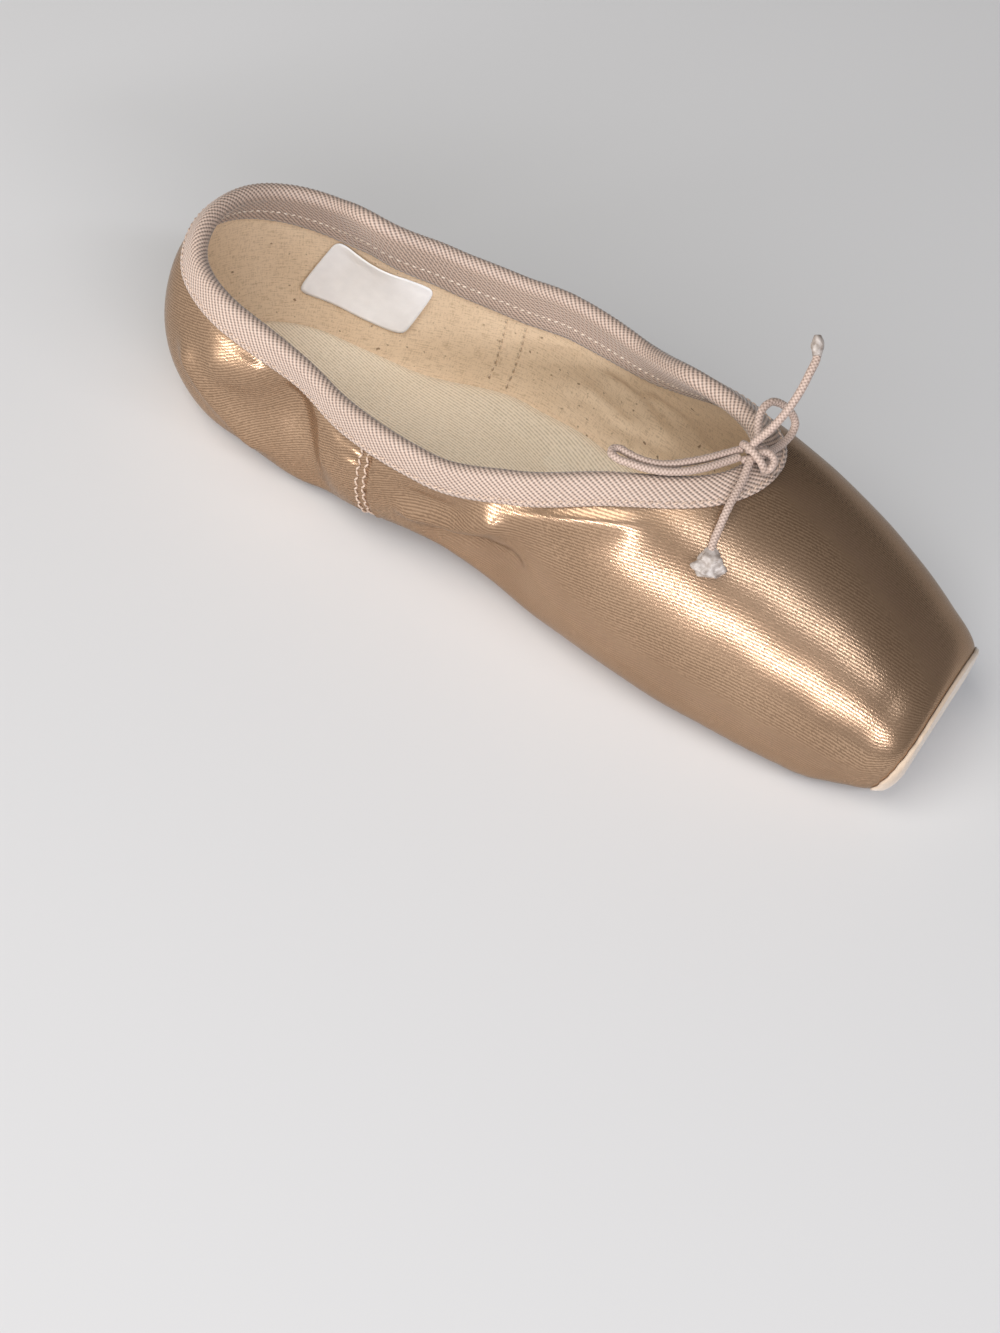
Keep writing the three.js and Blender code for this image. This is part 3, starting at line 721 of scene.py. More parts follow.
def satin_material():
    made = Surface("satin", metallic=0.66, ior=2.2, specular_tint=(0.66, 0.58, 0.50, 1.0))
    wander = made.noise(made.cloth, 0.10, 2.0)
    lines = made.stripes((-0.37, 0.93), 0.8, made.math("MULTIPLY", wander, 2.5))
    turned = made.turned(made.cloth, 21.7)
    grain = made.noise(made.scaled(turned, (0.9, 2.1)), 1.0, 0.0)
    spark = made.noise(made.scaled(turned, (1.6, 2.8)), 1.0, 0.0)
    soft = made.noise(made.cloth, 0.035, 3.0)
    colour = made.ramp(soft, (0.3, (0.40, 0.256, 0.158)), (0.7, (0.47, 0.310, 0.197)))
    thread = made.sum((lines, 0.3), (grain, 0.4), (spark, 0.3))
    # Painted shade: the colour darkens towards grey where the threads lie low.
    thread_shaded = made.thread_shaded(colour, thread, 0.41, (0.52, 0.49, 0.46), 0.58)
    relief = made.sum((lines, 0.35), (grain, 0.8), (spark, 0.8))
    made.drive("Roughness", made.math("SUBTRACT", 0.49, made.math("MULTIPLY", thread, 0.46)))
    return made.finished(thread_shaded, relief, 0.045, 0.55)


def lining_material():
    made = Surface("cotton_lining", roughness=0.9, sheen_weight=0.2)
    across = made.noise(made.scaled(made.cloth, (0.3, 2.4)), 1.0, 1.0, 0.6)
    down = made.noise(made.scaled(made.cloth, (2.4, 0.4)), 1.0, 1.0, 0.6)
    grain = made.noise(made.cloth, 2.0, 1.0)
    soft = made.noise(made.space, 26.0, 3.0)
    specks = made.noise(made.cloth, 0.5, 1.0)
    colour = made.ramp(soft, (0.35, (0.74, 0.565, 0.38)), (0.65, (0.84, 0.66, 0.465)))
    thread = made.sum((across, 0.45), (down, 0.3), (grain, 0.25))
    # Painted shade: the colour darkens towards grey where the threads lie low.
    thread_shaded = made.thread_shaded(colour, thread, 0.36, (0.74, 0.70, 0.65), 0.52)
    spots = made.ramp(specks, (0.70, (0, 0, 0)), (0.76, (1, 1, 1)))
    return made.finished(made.mix(spots, thread_shaded, (0.30, 0.20, 0.12)), thread, 0.15, 0.6)


def tape_material():
    made = Surface("twill_tape", roughness=0.58, sheen_weight=0.35, sheen_roughness=0.4)
    ribs = made.stripes(RIB_DIRECTION, RIB_PITCH)
    threads = made.stripes((0.5, -0.87), 0.7)
    grain = made.noise(made.cloth, 1.1, 2.0)
    soft = made.noise(made.space, 30.0, 2.0)
    colour = made.ramp(soft, (0.3, (0.44, 0.315, 0.245)), (0.7, (0.53, 0.388, 0.308)))
    # Painted shade in the gaps between the ribs, and a painted highlight on the raised threads.
    gap = made.math("POWER", made.math("SUBTRACT", 1.0, ribs), 1.6)
    dark = made.math("MULTIPLY", gap, made.math("ADD", grain, 0.62))
    light = made.math("MULTIPLY", made.math("MULTIPLY", threads, grain), 0.6)
    shaded = made.mix(light, made.mix(dark, colour, (0.12, 0.08, 0.06)), (0.80, 0.66, 0.56))
    relief = made.sum((ribs, 0.8), (threads, 0.25), (grain, 0.3))
    return made.finished(shaded, relief, 0.2, 0.7)


def cord_material():
    made = Surface("plaited_cord", roughness=0.5, sheen_weight=0.25)
    grain = made.noise(made.scaled(made.cloth, (1.2, 2.4)), 1.5, 3.0)
    twist = made.stripes((1.0, 0.62), 0.9)
    other = made.stripes((1.0, -0.62), 0.9)
    plait = made.sum((twist, 0.3), (other, 0.3), (grain, 0.4))
    # Painted shade: the colour darkens where the plait lies low.
    colour = made.ramp(plait, (0.25, (0.24, 0.165, 0.13)), (0.7, (0.52, 0.395, 0.325)))
    return made.finished(colour, plait, 0.15, 0.7)


def canvas_material():
    made = Surface("ribbed_canvas", roughness=0.92, sheen_weight=0.15)
    turned = made.turned(made.cloth, 14.5)
    ribs = made.stripes((0.25, 0.97), 0.85)
    across = made.noise(made.scaled(turned, (1.4, 0.4)), 1.0, 2.0, 0.7)
    grain = made.noise(made.cloth, 1.4, 2.0)
    soft = made.noise(made.space, 24.0, 3.0)
    colour = made.ramp(soft, (0.35, (0.78, 0.67, 0.515)), (0.65, (0.86, 0.75, 0.595)))
    thread = made.sum((ribs, 0.3), (across, 0.3), (grain, 0.4))
    # Painted shade: the colour darkens towards grey where the threads lie low.
    thread_shaded = made.thread_shaded(colour, thread, 0.32, (0.66, 0.63, 0.58), 0.55)
    return made.finished(thread_shaded, thread, 0.25, 0.7)


def suede_material():
    made = Surface("suede", roughness=0.95, sheen_weight=0.4, sheen_roughness=0.6)
    nap = made.noise(made.space, 900.0, 3.0, 0.7)
    soft = made.noise(made.space, 90.0, 3.0)
    colour = made.ramp(soft, (0.3, (0.52, 0.40, 0.29)), (0.7, (0.62, 0.50, 0.38)))
    shaded = made.mix(made.math("MULTIPLY", nap, 0.5), colour, (0.44, 0.33, 0.24))
    return made.finished(shaded, made.sum((nap, 1.0), (soft, 0.6)), 0.18, 0.7)


def leather_material():
    made = Surface("sole_leather", roughness=0.62)
    grain = made.noise(made.space, 700.0, 4.0, 0.6)
    patch = made.noise(made.space, 35.0, 4.0)
    colour = made.ramp(patch, (0.3, (0.40, 0.26, 0.16)), (0.7, (0.54, 0.37, 0.24)))
    shaded = made.mix(made.math("MULTIPLY", grain, 0.5), colour, (0.33, 0.21, 0.13))
    return made.finished(shaded, made.sum((grain, 1.0), (patch, 0.4)), 0.1, 0.5)


def thread_material(name, light, dark):
    made = Surface(name, roughness=0.4, sheen_weight=0.2)
    strand = made.noise(made.space, 1500.0, 2.0)
    return made.finished(made.ramp(strand, (0.35, dark), (0.65, light)), strand, 0.05, 0.4)


def label_material():
    made = Surface("blank_label", roughness=0.7, sheen_weight=0.1)
    warp = made.stripes((1.0, 0.0), 0.45)
    weft = made.stripes((0.0, 1.0), 0.45)
    soft = made.noise(made.cloth, 0.25, 2.0)
    colour = made.ramp(soft, (0.3, (0.90, 0.895, 0.89)), (0.7, (0.95, 0.945, 0.94)))
    return made.finished(colour, made.sum((warp, 0.5), (weft, 0.5)), 0.06, 0.5)


def glue_material():
    made = Surface("glued_tip", roughness=0.4, coat_weight=0.3, coat_roughness=0.2)
    cloud = made.noise(made.space, 700.0, 3.0)
    colour = made.ramp(cloud, (0.35, (0.24, 0.195, 0.165)), (0.65, (0.44, 0.39, 0.355)))
    return made.finished(colour, cloud, 0.2, 0.6)


SATIN = satin_material()
LINING = lining_material()
TWILL = tape_material()
PLAIT = cord_material()
CANVAS = canvas_material()
SUEDE = suede_material()
LEATHER = leather_material()
BLANK = label_material()
GLUE = glue_material()
PEACH_THREAD = thread_material("peach_thread", (0.62, 0.47, 0.365), (0.42, 0.30, 0.22))
WHITE_THREAD = thread_material("white_thread", (0.78, 0.68, 0.57), (0.60, 0.49, 0.39))
TAN_THREAD = thread_material("tan_thread", (0.62, 0.48, 0.33), (0.42, 0.31, 0.20))


# Drawstring: loops and ends, as cords
def make_cord(name, route, node):
    points = catmull_rom(from_throat(route))
    patchwork = Patchwork()
    add_cord(patchwork, points)
    piece = lay(patchwork.make(name, [PLAIT]), "cord", node)


# Strands of the knot as the photograph shows them: to the right, up, and towards the camera
KNOT_STRANDS = (
    (
        (-3.5, 3.3, -0.8), (-2.6, 2.5, 1.0), (-1.1, 0.8, 1.9),
        (0.4, -1.2, 1.9), (1.3, -2.8, 1.0), (1.6, -3.4, -0.6),
    ),
    (
        (1.2, -3.3, 0.0), (2.9, -2.8, 0.8), (3.8, -1.1, 0.9),
        (3.1, 0.5, 0.9), (1.5, 1.1, 0.6), (-0.4, 0.8, 0.0),
    ),
    ((-3.6, -0.6, -0.6), (-1.4, -0.4, -0.3), (1.0, 0.3, -0.4), (2.9, 1.7, -0.9)),
    ((-2.4, 1.6, -1.5), (-0.6, 1.9, -0.9), (1.4, 2.2, -0.9), (2.4, 1.0, -1.6)),
)


def make_knot():
    patchwork = Patchwork()
    for strand in KNOT_STRANDS:
        add_cord(patchwork, catmull_rom(from_throat(KNOT) + np.asarray(strand) @ camera_axes()))
    return lay(patchwork.make("bow_knot", [PLAIT]), "cord", "drawstring_knot")


# Glued tips: routes from the throat, radii along them, height left by flattening, lumps and their seed
STANDING_TIP = ((2.1, 12.6, 90.5), (1.3, 13.8, 91.6), (0.5, 14.9, 92.7), (-0.2, 15.8, 93.6))
STANDING_TIP_SHAPE = ((1.05, 1.35, 1.5, 1.5, 1.35, 0.9), 1.0, 0.07, 3)
LYING_TIP = ((2.7, -25.1, 55.7), (3.6, -26.8, 54.1), (4.5, -28.4, 52.6), (5.4, -30.0, 51.1))
LYING_TIP_SHAPE = ((1.1, 2.2, 3.2, 3.5, 3.3, 2.2), 0.5, 0.16, 8)
TIP_FLAT_NORMAL = unit(np.array((0.2, -0.68, 0.7)))
LUMP_WAVES = 5
LUMP_RUN = 9
TIP_CLOTH = 6.0


def make_tip(name, node, route, radii, flatten, lumps, seed):
    """A cord end set in glue: a lumpy bulb along the end of a route, flattened on the satin where it lies."""
    rng = np.random.default_rng(seed)
    points = catmull_rom(from_throat(route))
    share = np.linspace(0, 1, len(points))
    radius = np.interp(share, np.linspace(0, 1, len(radii)), radii)
    _, across, other = carried_frames(points)
    angle = np.linspace(0, 2 * np.pi, CORD_SIDES * 2 + 1)
    waves = rng.integers(2, 6, LUMP_WAVES)
    phases = rng.uniform(0, 2 * np.pi, (LUMP_WAVES, 2))
    rough = sum(
        np.sin(n * angle[None, :] + p) * np.sin(LUMP_RUN * share[:, None] + q)
        for n, (p, q) in zip(waves, phases)
    )
    wide = radius[:, None] * (1 + lumps * rough * np.sqrt(share)[:, None])
    ring = rings_round(points, across, other, wide, angle)
    height = (ring - points[:, None]) @ TIP_FLAT_NORMAL
    ring = ring - (height * (1 - flatten))[..., None] * TIP_FLAT_NORMAL
    start, end = (np.repeat(points[pick, None], len(angle), 1) for pick in (np.s_[:1], np.s_[-1:]))
    rows = np.concatenate([start, ring, end])
    cloth = np.stack(np.broadcast_arrays(np.linspace(0, TIP_CLOTH, len(rows))[:, None], angle[None, :]), -1)
    patchwork = Patchwork()
    patchwork.grid(rows, cloth, flip=True)
    return lay(patchwork.make(name, [GLUE]), "glued_tip", node)


def make_drawstring():
    knot = make_knot()
    standing_tip = make_tip("standing_tip", "drawstring_standing_tip", STANDING_TIP, *STANDING_TIP_SHAPE)
    lying_tip = make_tip("lying_tip", "drawstring_lying_tip", LYING_TIP, *LYING_TIP_SHAPE)
    make_cord("long_loop", LONG_LOOP, "drawstring_long_loop")
    make_cord("small_loop", SMALL_LOOP, "drawstring_small_loop")
    make_cord("standing_end", STANDING_END, "drawstring_standing_end")
    make_cord("lying_end", LYING_END, "drawstring_lying_end")


make_drawstring()


# Upper: satin outside, cotton lining inside, one closed wall
SIDE_SEAM = 87.0
SEAM_RIDGE = 1.6  # from the seam to the front piece's folded edge
SEAM_ROWS = 26
SEAM_BACK = 4.0
SEAM_FRONT = 4.5
HEEL_ROWS = 34
QUARTER_ROWS = 90
VAMP_ROWS = 58
LOWER_ROWS = 34
UPPER_ROWS = 46
CLOSEST_ROWS = 0.15
TOE_EDGE_ROWS = 12
TOE_FLAT_STATIONS = (3.3, 3.6, 4.0)
GIRTH_SAMPLES = 241
HEEL_CLOTH_RADIUS = 30.6
PLATFORM_CLOTH = 20.0
SEAM_WAVER = 0.25
PUCKER_PITCH = 3.4
PUCKER_HEIGHT = {-1: 0.22, 1: 0.08}
PLEAT_PITCH = 5.2  # degrees round the box
PLEAT_HEIGHT = 0.55
PLEAT_CENTRE = 176.0
PLEAT_SHARPNESS = 0.6
PLEAT_LEVEL = 0.7
SLACK_HEIGHT = 0.12
LINING_SLACK = 1.0  # the lining follows only what is sunk deeper
SUNK_AT_TAPE = 0.4

# Profile of the folded edge and of the puckers beside a side seam: from the ridge or the seam, height, width
FOLD_PROFILE = ((0.0, 0.5, 0.75), (-1.5, -0.3, 0.8))
PUCKER_BEHIND = (-4.0, 2.2)
PUCKER_BEFORE = (2.4, 1.6)
PUCKER_BEFORE_SHARE = 0.6

# Where relief fades in: by millimetres below the tape, above the floor and from the line, or by girth
BELOW_TAPE_OUT = (-1.0, 3.0)
BELOW_TAPE_SUNK = (0.0, 7.0)
ABOVE_FLOOR = (4.0, 14.0)
OFF_LINE = (0.0, 4.0)
ON_SIDE = (FLAT_SHARE, 0.32)
ON_LINING = (0.2, 0.3)
PAST_PLEATS = (0.2, 0.36)
PLEATS_START = (150, 178)
OFF_PLEAT_CENTRE = (14, 22)
TOE_SMOOTH = (BODY_END - 6, BODY_END)


def upper_stations():
    quarter = THROAT - (THROAT - HEEL_CENTRE) * np.linspace(1, 0, QUARTER_ROWS) ** THROAT_CROWDING
    seam = np.linspace(SIDE_SEAM - SEAM_BACK, SIDE_SEAM + SEAM_FRONT, SEAM_ROWS)
    vamp = np.linspace(THROAT, BODY_END, VAMP_ROWS)
    places = np.unique(np.round(np.concatenate([quarter, seam, vamp, [THROAT, MARGIN_FRONT]]), 3))
    keep = [places[0]]
    for place in places[1:]:
        if place - keep[-1] > CLOSEST_ROWS or place in (THROAT, MARGIN_FRONT):
            keep.append(place)
    heel = np.linspace(0, 1, HEEL_ROWS)[:-1]
    edge = np.linspace(2, 3, TOE_EDGE_ROWS + 1)[1:]
    return np.concatenate([heel, station_of(np.array(keep)), edge, TOE_FLAT_STATIONS])


def cloth_places(stations, girths, side):
    """Cloth coordinates in millimetres: along the shoe, and round it from the line on top."""
    from_heel = from_heel_of(stations)
    turn = np.clip(1 - stations, 0, 1) * np.pi / 2
    edge = np.clip(stations - 2, 0, 1) * PLATFORM_EDGE * np.pi / 2
    tip = edge + np.clip(stations - 3, 0, 1) * PLATFORM_CLOTH
    along = np.where(stations < 1, HEEL_CENTRE - turn * HEEL_CLOTH_RADIUS, from_heel) + tip
    samples = np.linspace(0, 1, GIRTH_SAMPLES)
    across, height = section_point(from_heel[:, None], samples[None, :])
    steps = np.hypot(np.diff(across, axis=1), np.diff(height, axis=1))
    arc = np.concatenate([np.zeros((len(stations), 1)), np.cumsum(steps, axis=1)], 1)
    from_top = np.array([a[-1] - np.interp(g, samples, a) for a, g in zip(arc, girths)])
    return np.stack(np.broadcast_arrays(along[:, None], side * from_top), -1)


def creased(points, side):
    """Outward relief of the listed creases, which keeps clear of the tape's edge and the floor."""
    x, _, z = np.moveaxis(points, -1, 0)
    relief = -crease_depth(points, side, CREASES)
    below_tape = table_curve(COLLAR, COLLAR_COLUMNS, "right" if side < 0 else "left", x) - TAPE_OUTSIDE - z
    clear = smooth(below_tape, *BELOW_TAPE_OUT) * smooth(z, *ABOVE_FLOOR)
    sunk = SUNK_AT_TAPE + (1 - SUNK_AT_TAPE) * smooth(below_tape, *BELOW_TAPE_SUNK)
    return relief * np.where(relief > 0, clear, sunk)


def seam_relief(x, z, side):
    """The folded edge beside a side seam, with the groove behind it and puckers on both sides."""
    ridge = SIDE_SEAM + SEAM_RIDGE + SEAM_WAVER * np.sin(z * 1.1)
    fold = sum(height * bump_at(x, ridge + place, width) for place, height, width in FOLD_PROFILE)
    pucker = np.sin(2 * np.pi * z / PUCKER_PITCH + 0.4 * np.sin(z * 0.7))
    behind = bump_at(x - SIDE_SEAM, *PUCKER_BEHIND)
    before = bump_at(x - ridge, *PUCKER_BEFORE)
    return fold + PUCKER_HEIGHT[side] * pucker * (behind + PUCKER_BEFORE_SHARE * before)


def pleat_relief(x, y, girths):
    """Pleats of the satin, which fan out under the toe."""
    angle = np.degrees(np.arctan2(np.abs(y), x - PLEAT_CENTRE))
    fold = np.abs(np.sin(np.radians(angle) * 180 / PLEAT_PITCH + 0.35 * np.sin(angle * 0.9)))
    outside = smooth(np.hypot(y, x - PLEAT_CENTRE), *OFF_PLEAT_CENTRE)
    under = (1 - smooth(girths, *PAST_PLEATS)) * smooth(x, *PLEATS_START) * outside
    return PLEAT_HEIGHT * (fold**PLEAT_SHARPNESS - PLEAT_LEVEL) * under


def satin_relief(points, girths, side):
    """Outward relief of the satin: creases, the side seam, the pleats under the toe and a little slack."""
    x, y, z = np.moveaxis(points, -1, 0)
    wave = np.sin(x * 0.21 + z * 0.13) * np.sin(x * 0.083 - z * 0.19 + 1.3)
    slack = SLACK_HEIGHT * wave * (1 - smooth(x, *TOE_SMOOTH))
    on_side = smooth(girths, *ON_SIDE)
    return creased(points, side) + on_side * (seam_relief(x, z, side) + slack) + pleat_relief(x, y, girths)


def make_upper():
    stations = upper_stations()
    margin = margin_girth(stations)[:, None]
    low = margin + (SIDE_SHARE - margin) * np.linspace(0, 1, LOWER_ROWS + 1)[None, :-1]
    high = np.linspace(0, 1, UPPER_ROWS + 1)[None, :]
    throat = int(np.argmax(from_heel_of(stations) >= THROAT - SAME_PLACE))
    front = int(np.argmax(margin[:, 0] <= 0))
    here = stations[:, None]
    patchwork = Patchwork()
    for side in (-1, 1):
        flip = side > 0
        collar = collar_girth(here, side)
        girths = np.concatenate([low, SIDE_SHARE + (collar - SIDE_SHARE) * high], 1)
        base = last_point(here, girths, side)
        normal = last_normal(here, girths, side)
        centre = smooth(np.abs(base[..., 1]), *OFF_LINE)
        lift = satin_relief(base, girths, side) * centre
        wrinkle = crease_depth(base, side, LINING_WRINKLES) * smooth(girths, *ON_LINING)
        outer = base + normal * lift[..., None]
        follow = np.minimum(creased(base, side) + LINING_SLACK, 0) * centre * smooth(girths, *ON_SIDE)
        inner = base - normal * (wall_at(here) + wrinkle - follow)[..., None]
        on_line = np.abs(base[..., 1]) < TOUCH
        outer[..., 1] = np.where(on_line, 0, outer[..., 1])
        inner[..., 1] = np.where(on_line, 0, inner[..., 1])
        cloth = cloth_places(stations, girths, side)
        patchwork.grid(outer, cloth, flip=flip)
        patchwork.grid(inner, cloth, flip=not flip, slot=1)
        rim = np.stack([outer[: throat + 1, -1], inner[: throat + 1, -1]], 1)
        patchwork.grid(rim, cloth[: throat + 1, -2:], flip=flip, slot=1)
        turned = np.stack([inner[: front + 1, 0], outer[: front + 1, 0]], 1)
        patchwork.grid(turned, cloth[: front + 1, :2], flip=flip, slot=1)
    lay(patchwork.make("satin_upper", [SATIN, LINING], CLOTH_WELD), "satin", "upper")


make_upper()


# Collar tape
RINGS = 1500
LOOP_SAMPLES = 8001
WALKED_ROWS = 14
WALK_STEP = 0.5
LEG_ROWS = 10
CROWN_ROWS = 9
STITCH_OUTSIDE = TAPE_OUTSIDE - 1.2
STITCH_INSIDE = 8.0
STITCH_GROOVE = 0.3
UNDERSIDE_MIDDLE = 6.0
GROOVE_WIDTH = 0.7


def collar_places(place):
    """Stations and sides round the collar: places go from -2 at the heel to 0 at the throat and on to 2."""
    away = np.abs(place)
    front = station_of(THROAT - (THROAT - HEEL_CENTRE) * np.minimum(away, 1) ** 2)
    return np.where(away > 1, 2 - away, front), np.where(place < 0, -1.0, 1.0)


def collar_loop():
    """Even places round the collar, from the heel along the right side to the throat and back."""
    place = np.linspace(-2, 2, LOOP_SAMPLES)
    station, side = collar_places(place)
    length = distance_along(last_point(station, collar_girth(station, side), side))
    even = np.arange(RINGS) * length[-1] / RINGS
    return *collar_places(np.interp(even, length, place)), even, length[-1]


def walk(station, girth, side, heading, distance):
    """Walks over the last from places, along headings, and returns the new places and headings."""
    count = max(1, int(round(distance / WALK_STEP)))
    stride = distance / count
    for _ in range(count):
        forward, up = last_slopes(station, girth, side)
        normal = last_normal(station, girth, side)
        heading = unit(heading - normal * (heading * normal).sum(-1, keepdims=True))
        ff = (forward * forward).sum(-1)
        fu = (forward * up).sum(-1)
        uu = (up * up).sum(-1)
        bottom = ff * uu - fu * fu
        hf = (heading * forward).sum(-1)
        hu = (heading * up).sum(-1)
        station = station + stride * (hf * uu - hu * fu) / bottom
        girth = girth + stride * (hu * ff - hf * fu) / bottom
    return station, girth, heading


class Collar:
    """The collar's edge with the surface next to it, walked out in even steps."""

    def __init__(self):
        self.station, self.side, self.even, self.length = collar_loop()
        self.girth = collar_girth(self.station, self.side)
        self.edge = last_point(self.station, self.girth, self.side)
        self.out = last_normal(self.station, self.girth, self.side)
        self.along = unit(np.roll(self.edge, -1, 0) - np.roll(self.edge, 1, 0))
        self.away = unit(np.cross(self.along, self.out))
        self.wall = wall_at(self.station)
        self.distances = np.linspace(0, TAPE_INSIDE, WALKED_ROWS)
        self.surface = [self.edge]
        self.normals = [self.out]
        station, girth, heading = self.station, self.girth, self.away
        for step in np.diff(self.distances):
            station, girth, heading = walk(station, girth, self.side, heading, step)
            self.surface.append(last_point(station, girth, self.side))
            self.normals.append(last_normal(station, girth, self.side))
        self.surface = np.array(self.surface)
        self.normals = np.array(self.normals)

    def at(self, distance):
        """Surface points and normals at one distance from the edge, all round."""
        k = min(int(np.searchsorted(self.distances, distance, side="right")) - 1, len(self.distances) - 2)
        share = (distance - self.distances[k]) / (self.distances[k + 1] - self.distances[k])
        points = self.surface[k] * (1 - share) + self.surface[k + 1] * share
        normals = unit(self.normals[k] * (1 - share) + self.normals[k + 1] * share)
        return points, normals


COLLAR_EDGE = Collar()


def rib_relief(along, across):
    phase = 2 * np.pi / RIB_PITCH * (RIB_DIRECTION[0] * along + RIB_DIRECTION[1] * across)
    return RIB_HEIGHT * (0.5 + 0.5 * np.sin(phase))


def make_binding():
    collar = COLLAR_EDGE
    ribs = round(collar.length * RIB_DIRECTION[0] / RIB_PITCH)
    even = collar.even * (ribs * RIB_PITCH / RIB_DIRECTION[0] / collar.length)
    rows = []
    cloth = []

    def leg(distances, wall_share, ribbed, groove):
        for distance in distances:
            points, normals = collar.at(distance)
            place = -distance if wall_share == 0 else distance + CROWN_CLOTH
            lift = np.full(RINGS, TAPE_GAP)
            if ribbed:
                edge = min(1.0, (distances[-1] if wall_share else distances[0]) - distance + 0.35)
                lift = lift + TAPE * min(1.0, 0.45 + 0.55 * edge) + rib_relief(even, place)
                lift = lift - STITCH_GROOVE * bump_at(distance, groove, GROOVE_WIDTH)
            sign = 1 if wall_share == 0 else -1
            rows.append(points + normals * (sign * lift - wall_share * collar.wall)[:, None])
            cloth.append(np.stack([even, np.full(RINGS, place)], -1))

    def crown(offset, turns, ribbed):
        for turn in turns:
            place = turn / np.pi * CROWN_CLOTH
            lift = np.full(RINGS, offset)
            if ribbed:
                lift = lift + rib_relief(even, place)
            side = (collar.wall / 2 + lift) * math.cos(turn) - collar.wall / 2
            up = (lift + TAPE_CROWN) * math.sin(turn)
            rows.append(collar.edge + collar.out * side[:, None] - collar.away * up[:, None])
            cloth.append(np.stack([even, np.full(RINGS, place)], -1))

    outside = np.linspace(TAPE_OUTSIDE, 0, LEG_ROWS)
    inside = np.linspace(0, TAPE_INSIDE, LEG_ROWS)
    turns = np.linspace(0, np.pi, CROWN_ROWS)[1:-1]
    leg(outside, 0, True, STITCH_OUTSIDE)
    crown(TAPE_GAP + TAPE, turns, True)
    leg(inside, 1, True, STITCH_INSIDE)
    leg(np.array((TAPE_INSIDE, UNDERSIDE_MIDDLE, 0.0)), 1, False, 0)
    crown(TAPE_GAP, np.array((3, 2, 1)) * np.pi / 4, False)
    leg(np.array((0.0, TAPE_OUTSIDE / 2, TAPE_OUTSIDE)), 0, False, 0)
    rows.append(rows[0])
    cloth.append(cloth[0])
    patchwork = Patchwork()
    points = np.stack(rows, 1)
    places = np.stack(cloth, 1)
    points = np.concatenate([points, points[:1]])
    last = places[:1].copy()
    last[..., 0] += ribs * RIB_PITCH / RIB_DIRECTION[0]
    patchwork.grid(points, np.concatenate([places, last]))
    lay(patchwork.make("twill_binding", [TWILL]), "twill_tape", "collar_binding")


make_binding()


# Stitches: one small bent capsule for each, joined into a mesh for each row
STITCH_RINGS = 7
STITCH_SIDES = 6
STITCH_ARCH = 0.9  # of the radius, as is the depth that its ends lie below the cloth
STITCH_ENDS = 0.35
STITCH_SINK = 0.12
SEAM_STITCH_LIFT = 0.05


def stitch_mesh(name, places, along, out, length, radius, material, slot):
    share = np.linspace(-1, 1, STITCH_RINGS)
    angle = np.linspace(0, 2 * np.pi, STITCH_SIDES + 1)
    thick = radius * np.sqrt(np.maximum(0.0, 1 - share**4))
    across = np.cross(along, out)
    arch = (1 - share**2) * radius * STITCH_ARCH - radius * STITCH_ENDS
    centre = (
        places[:, None]
        + along[:, None] * (share * length / 2)[None, :, None]
        + out[:, None] * arch[None, :, None]
    )
    ring = (
        centre[:, :, None]
        + across[:, None, None] * (thick[:, None] * np.cos(angle))[None, :, :, None]
        + out[:, None, None] * (thick[:, None] * np.sin(angle))[None, :, :, None]
    )
    faces = grid_faces(STITCH_RINGS, STITCH_SIDES + 1, flip=True)
    size = STITCH_RINGS * (STITCH_SIDES + 1)
    faces = (faces[None] + np.arange(len(places))[:, None, None] * size).reshape(-1, 4)
    points = ring.reshape(-1, 3)
    patchwork = Patchwork()
    patchwork.add(points, points[:, :2], faces)
    lay(patchwork.make(name, [material], STITCH_WELD), slot)


def collar_stitches(name, distance, inside, pitch, length, slant, radius, material):
    points, normals = COLLAR_EDGE.at(distance)
    along = unit(np.roll(points, -1, 0) - np.roll(points, 1, 0))
    gone = distance_along(points)
    pick = np.searchsorted(gone, np.arange(int(gone[-1] / pitch)) * pitch)
    sign = -1 if inside else 1
    wall = COLLAR_EDGE.wall[pick] if inside else np.zeros(len(pick))
    lift = sign * (TAPE_GAP + TAPE - STITCH_SINK) - wall
    places = points[pick] + normals[pick] * lift[:, None]
    out = normals[pick] * sign
    direction = along[pick] * math.cos(slant) + np.cross(out, along[pick]) * math.sin(slant)
    stitch_mesh(name, places, direction, out, length, radius, material, "twill_tape")


def seam_stitches(name, side, inside, columns, low, high, pitch, length, slant, radius, material):
    """Rows of stitches down a side seam, slanted turn about when they zigzag."""
    places = []
    along = []
    outs = []
    heights = np.arange(low, high, pitch)
    for column, place in enumerate(columns):
        from_heel = np.full(len(heights), SIDE_SEAM + place)
        station = station_of(from_heel)
        girth = girth_at_height(from_heel, heights)
        points = last_point(station, girth, side)
        normal = last_normal(station, girth, side)
        up = unit(last_slopes(station, girth, side)[1])
        lift = SEAM_STITCH_LIFT + (wall_at(station) if inside else satin_relief(points, girth, side))
        out = normal * (-1 if inside else 1)
        turn = slant * np.where((np.arange(len(heights)) + column) % 2, 1, -1)[:, None]
        places.append(points + out * lift[:, None])
        along.append(up * np.cos(turn) + np.cross(out, up) * np.sin(turn))
        outs.append(out)
    joined = [np.concatenate(part) for part in (places, along, outs)]
    stitch_mesh(name, *joined, length, radius, material, "satin")


def make_stitches():
    collar_stitches("binding_stitches_outside", STITCH_OUTSIDE, False, 2.0, 1.7, 0.45, 0.24, PEACH_THREAD)
    collar_stitches("binding_stitches_inside", STITCH_INSIDE, True, 2.2, 1.7, 0.2, 0.23, WHITE_THREAD)
    for side, word in ((-1, "right"), (1, "left")):
        seam_stitches(
            f"seam_stitches_{word}", side, False, (-2.4, -0.3), 9, 38, 1.9, 2.1, 0.5, 0.28, PEACH_THREAD
        )
        seam_stitches(
            f"lining_stitches_{word}", side, True, (-3.2, 2.8), 13, 36, 2.4, 1.5, 0.1, 0.32, TAN_THREAD
        )


make_stitches()


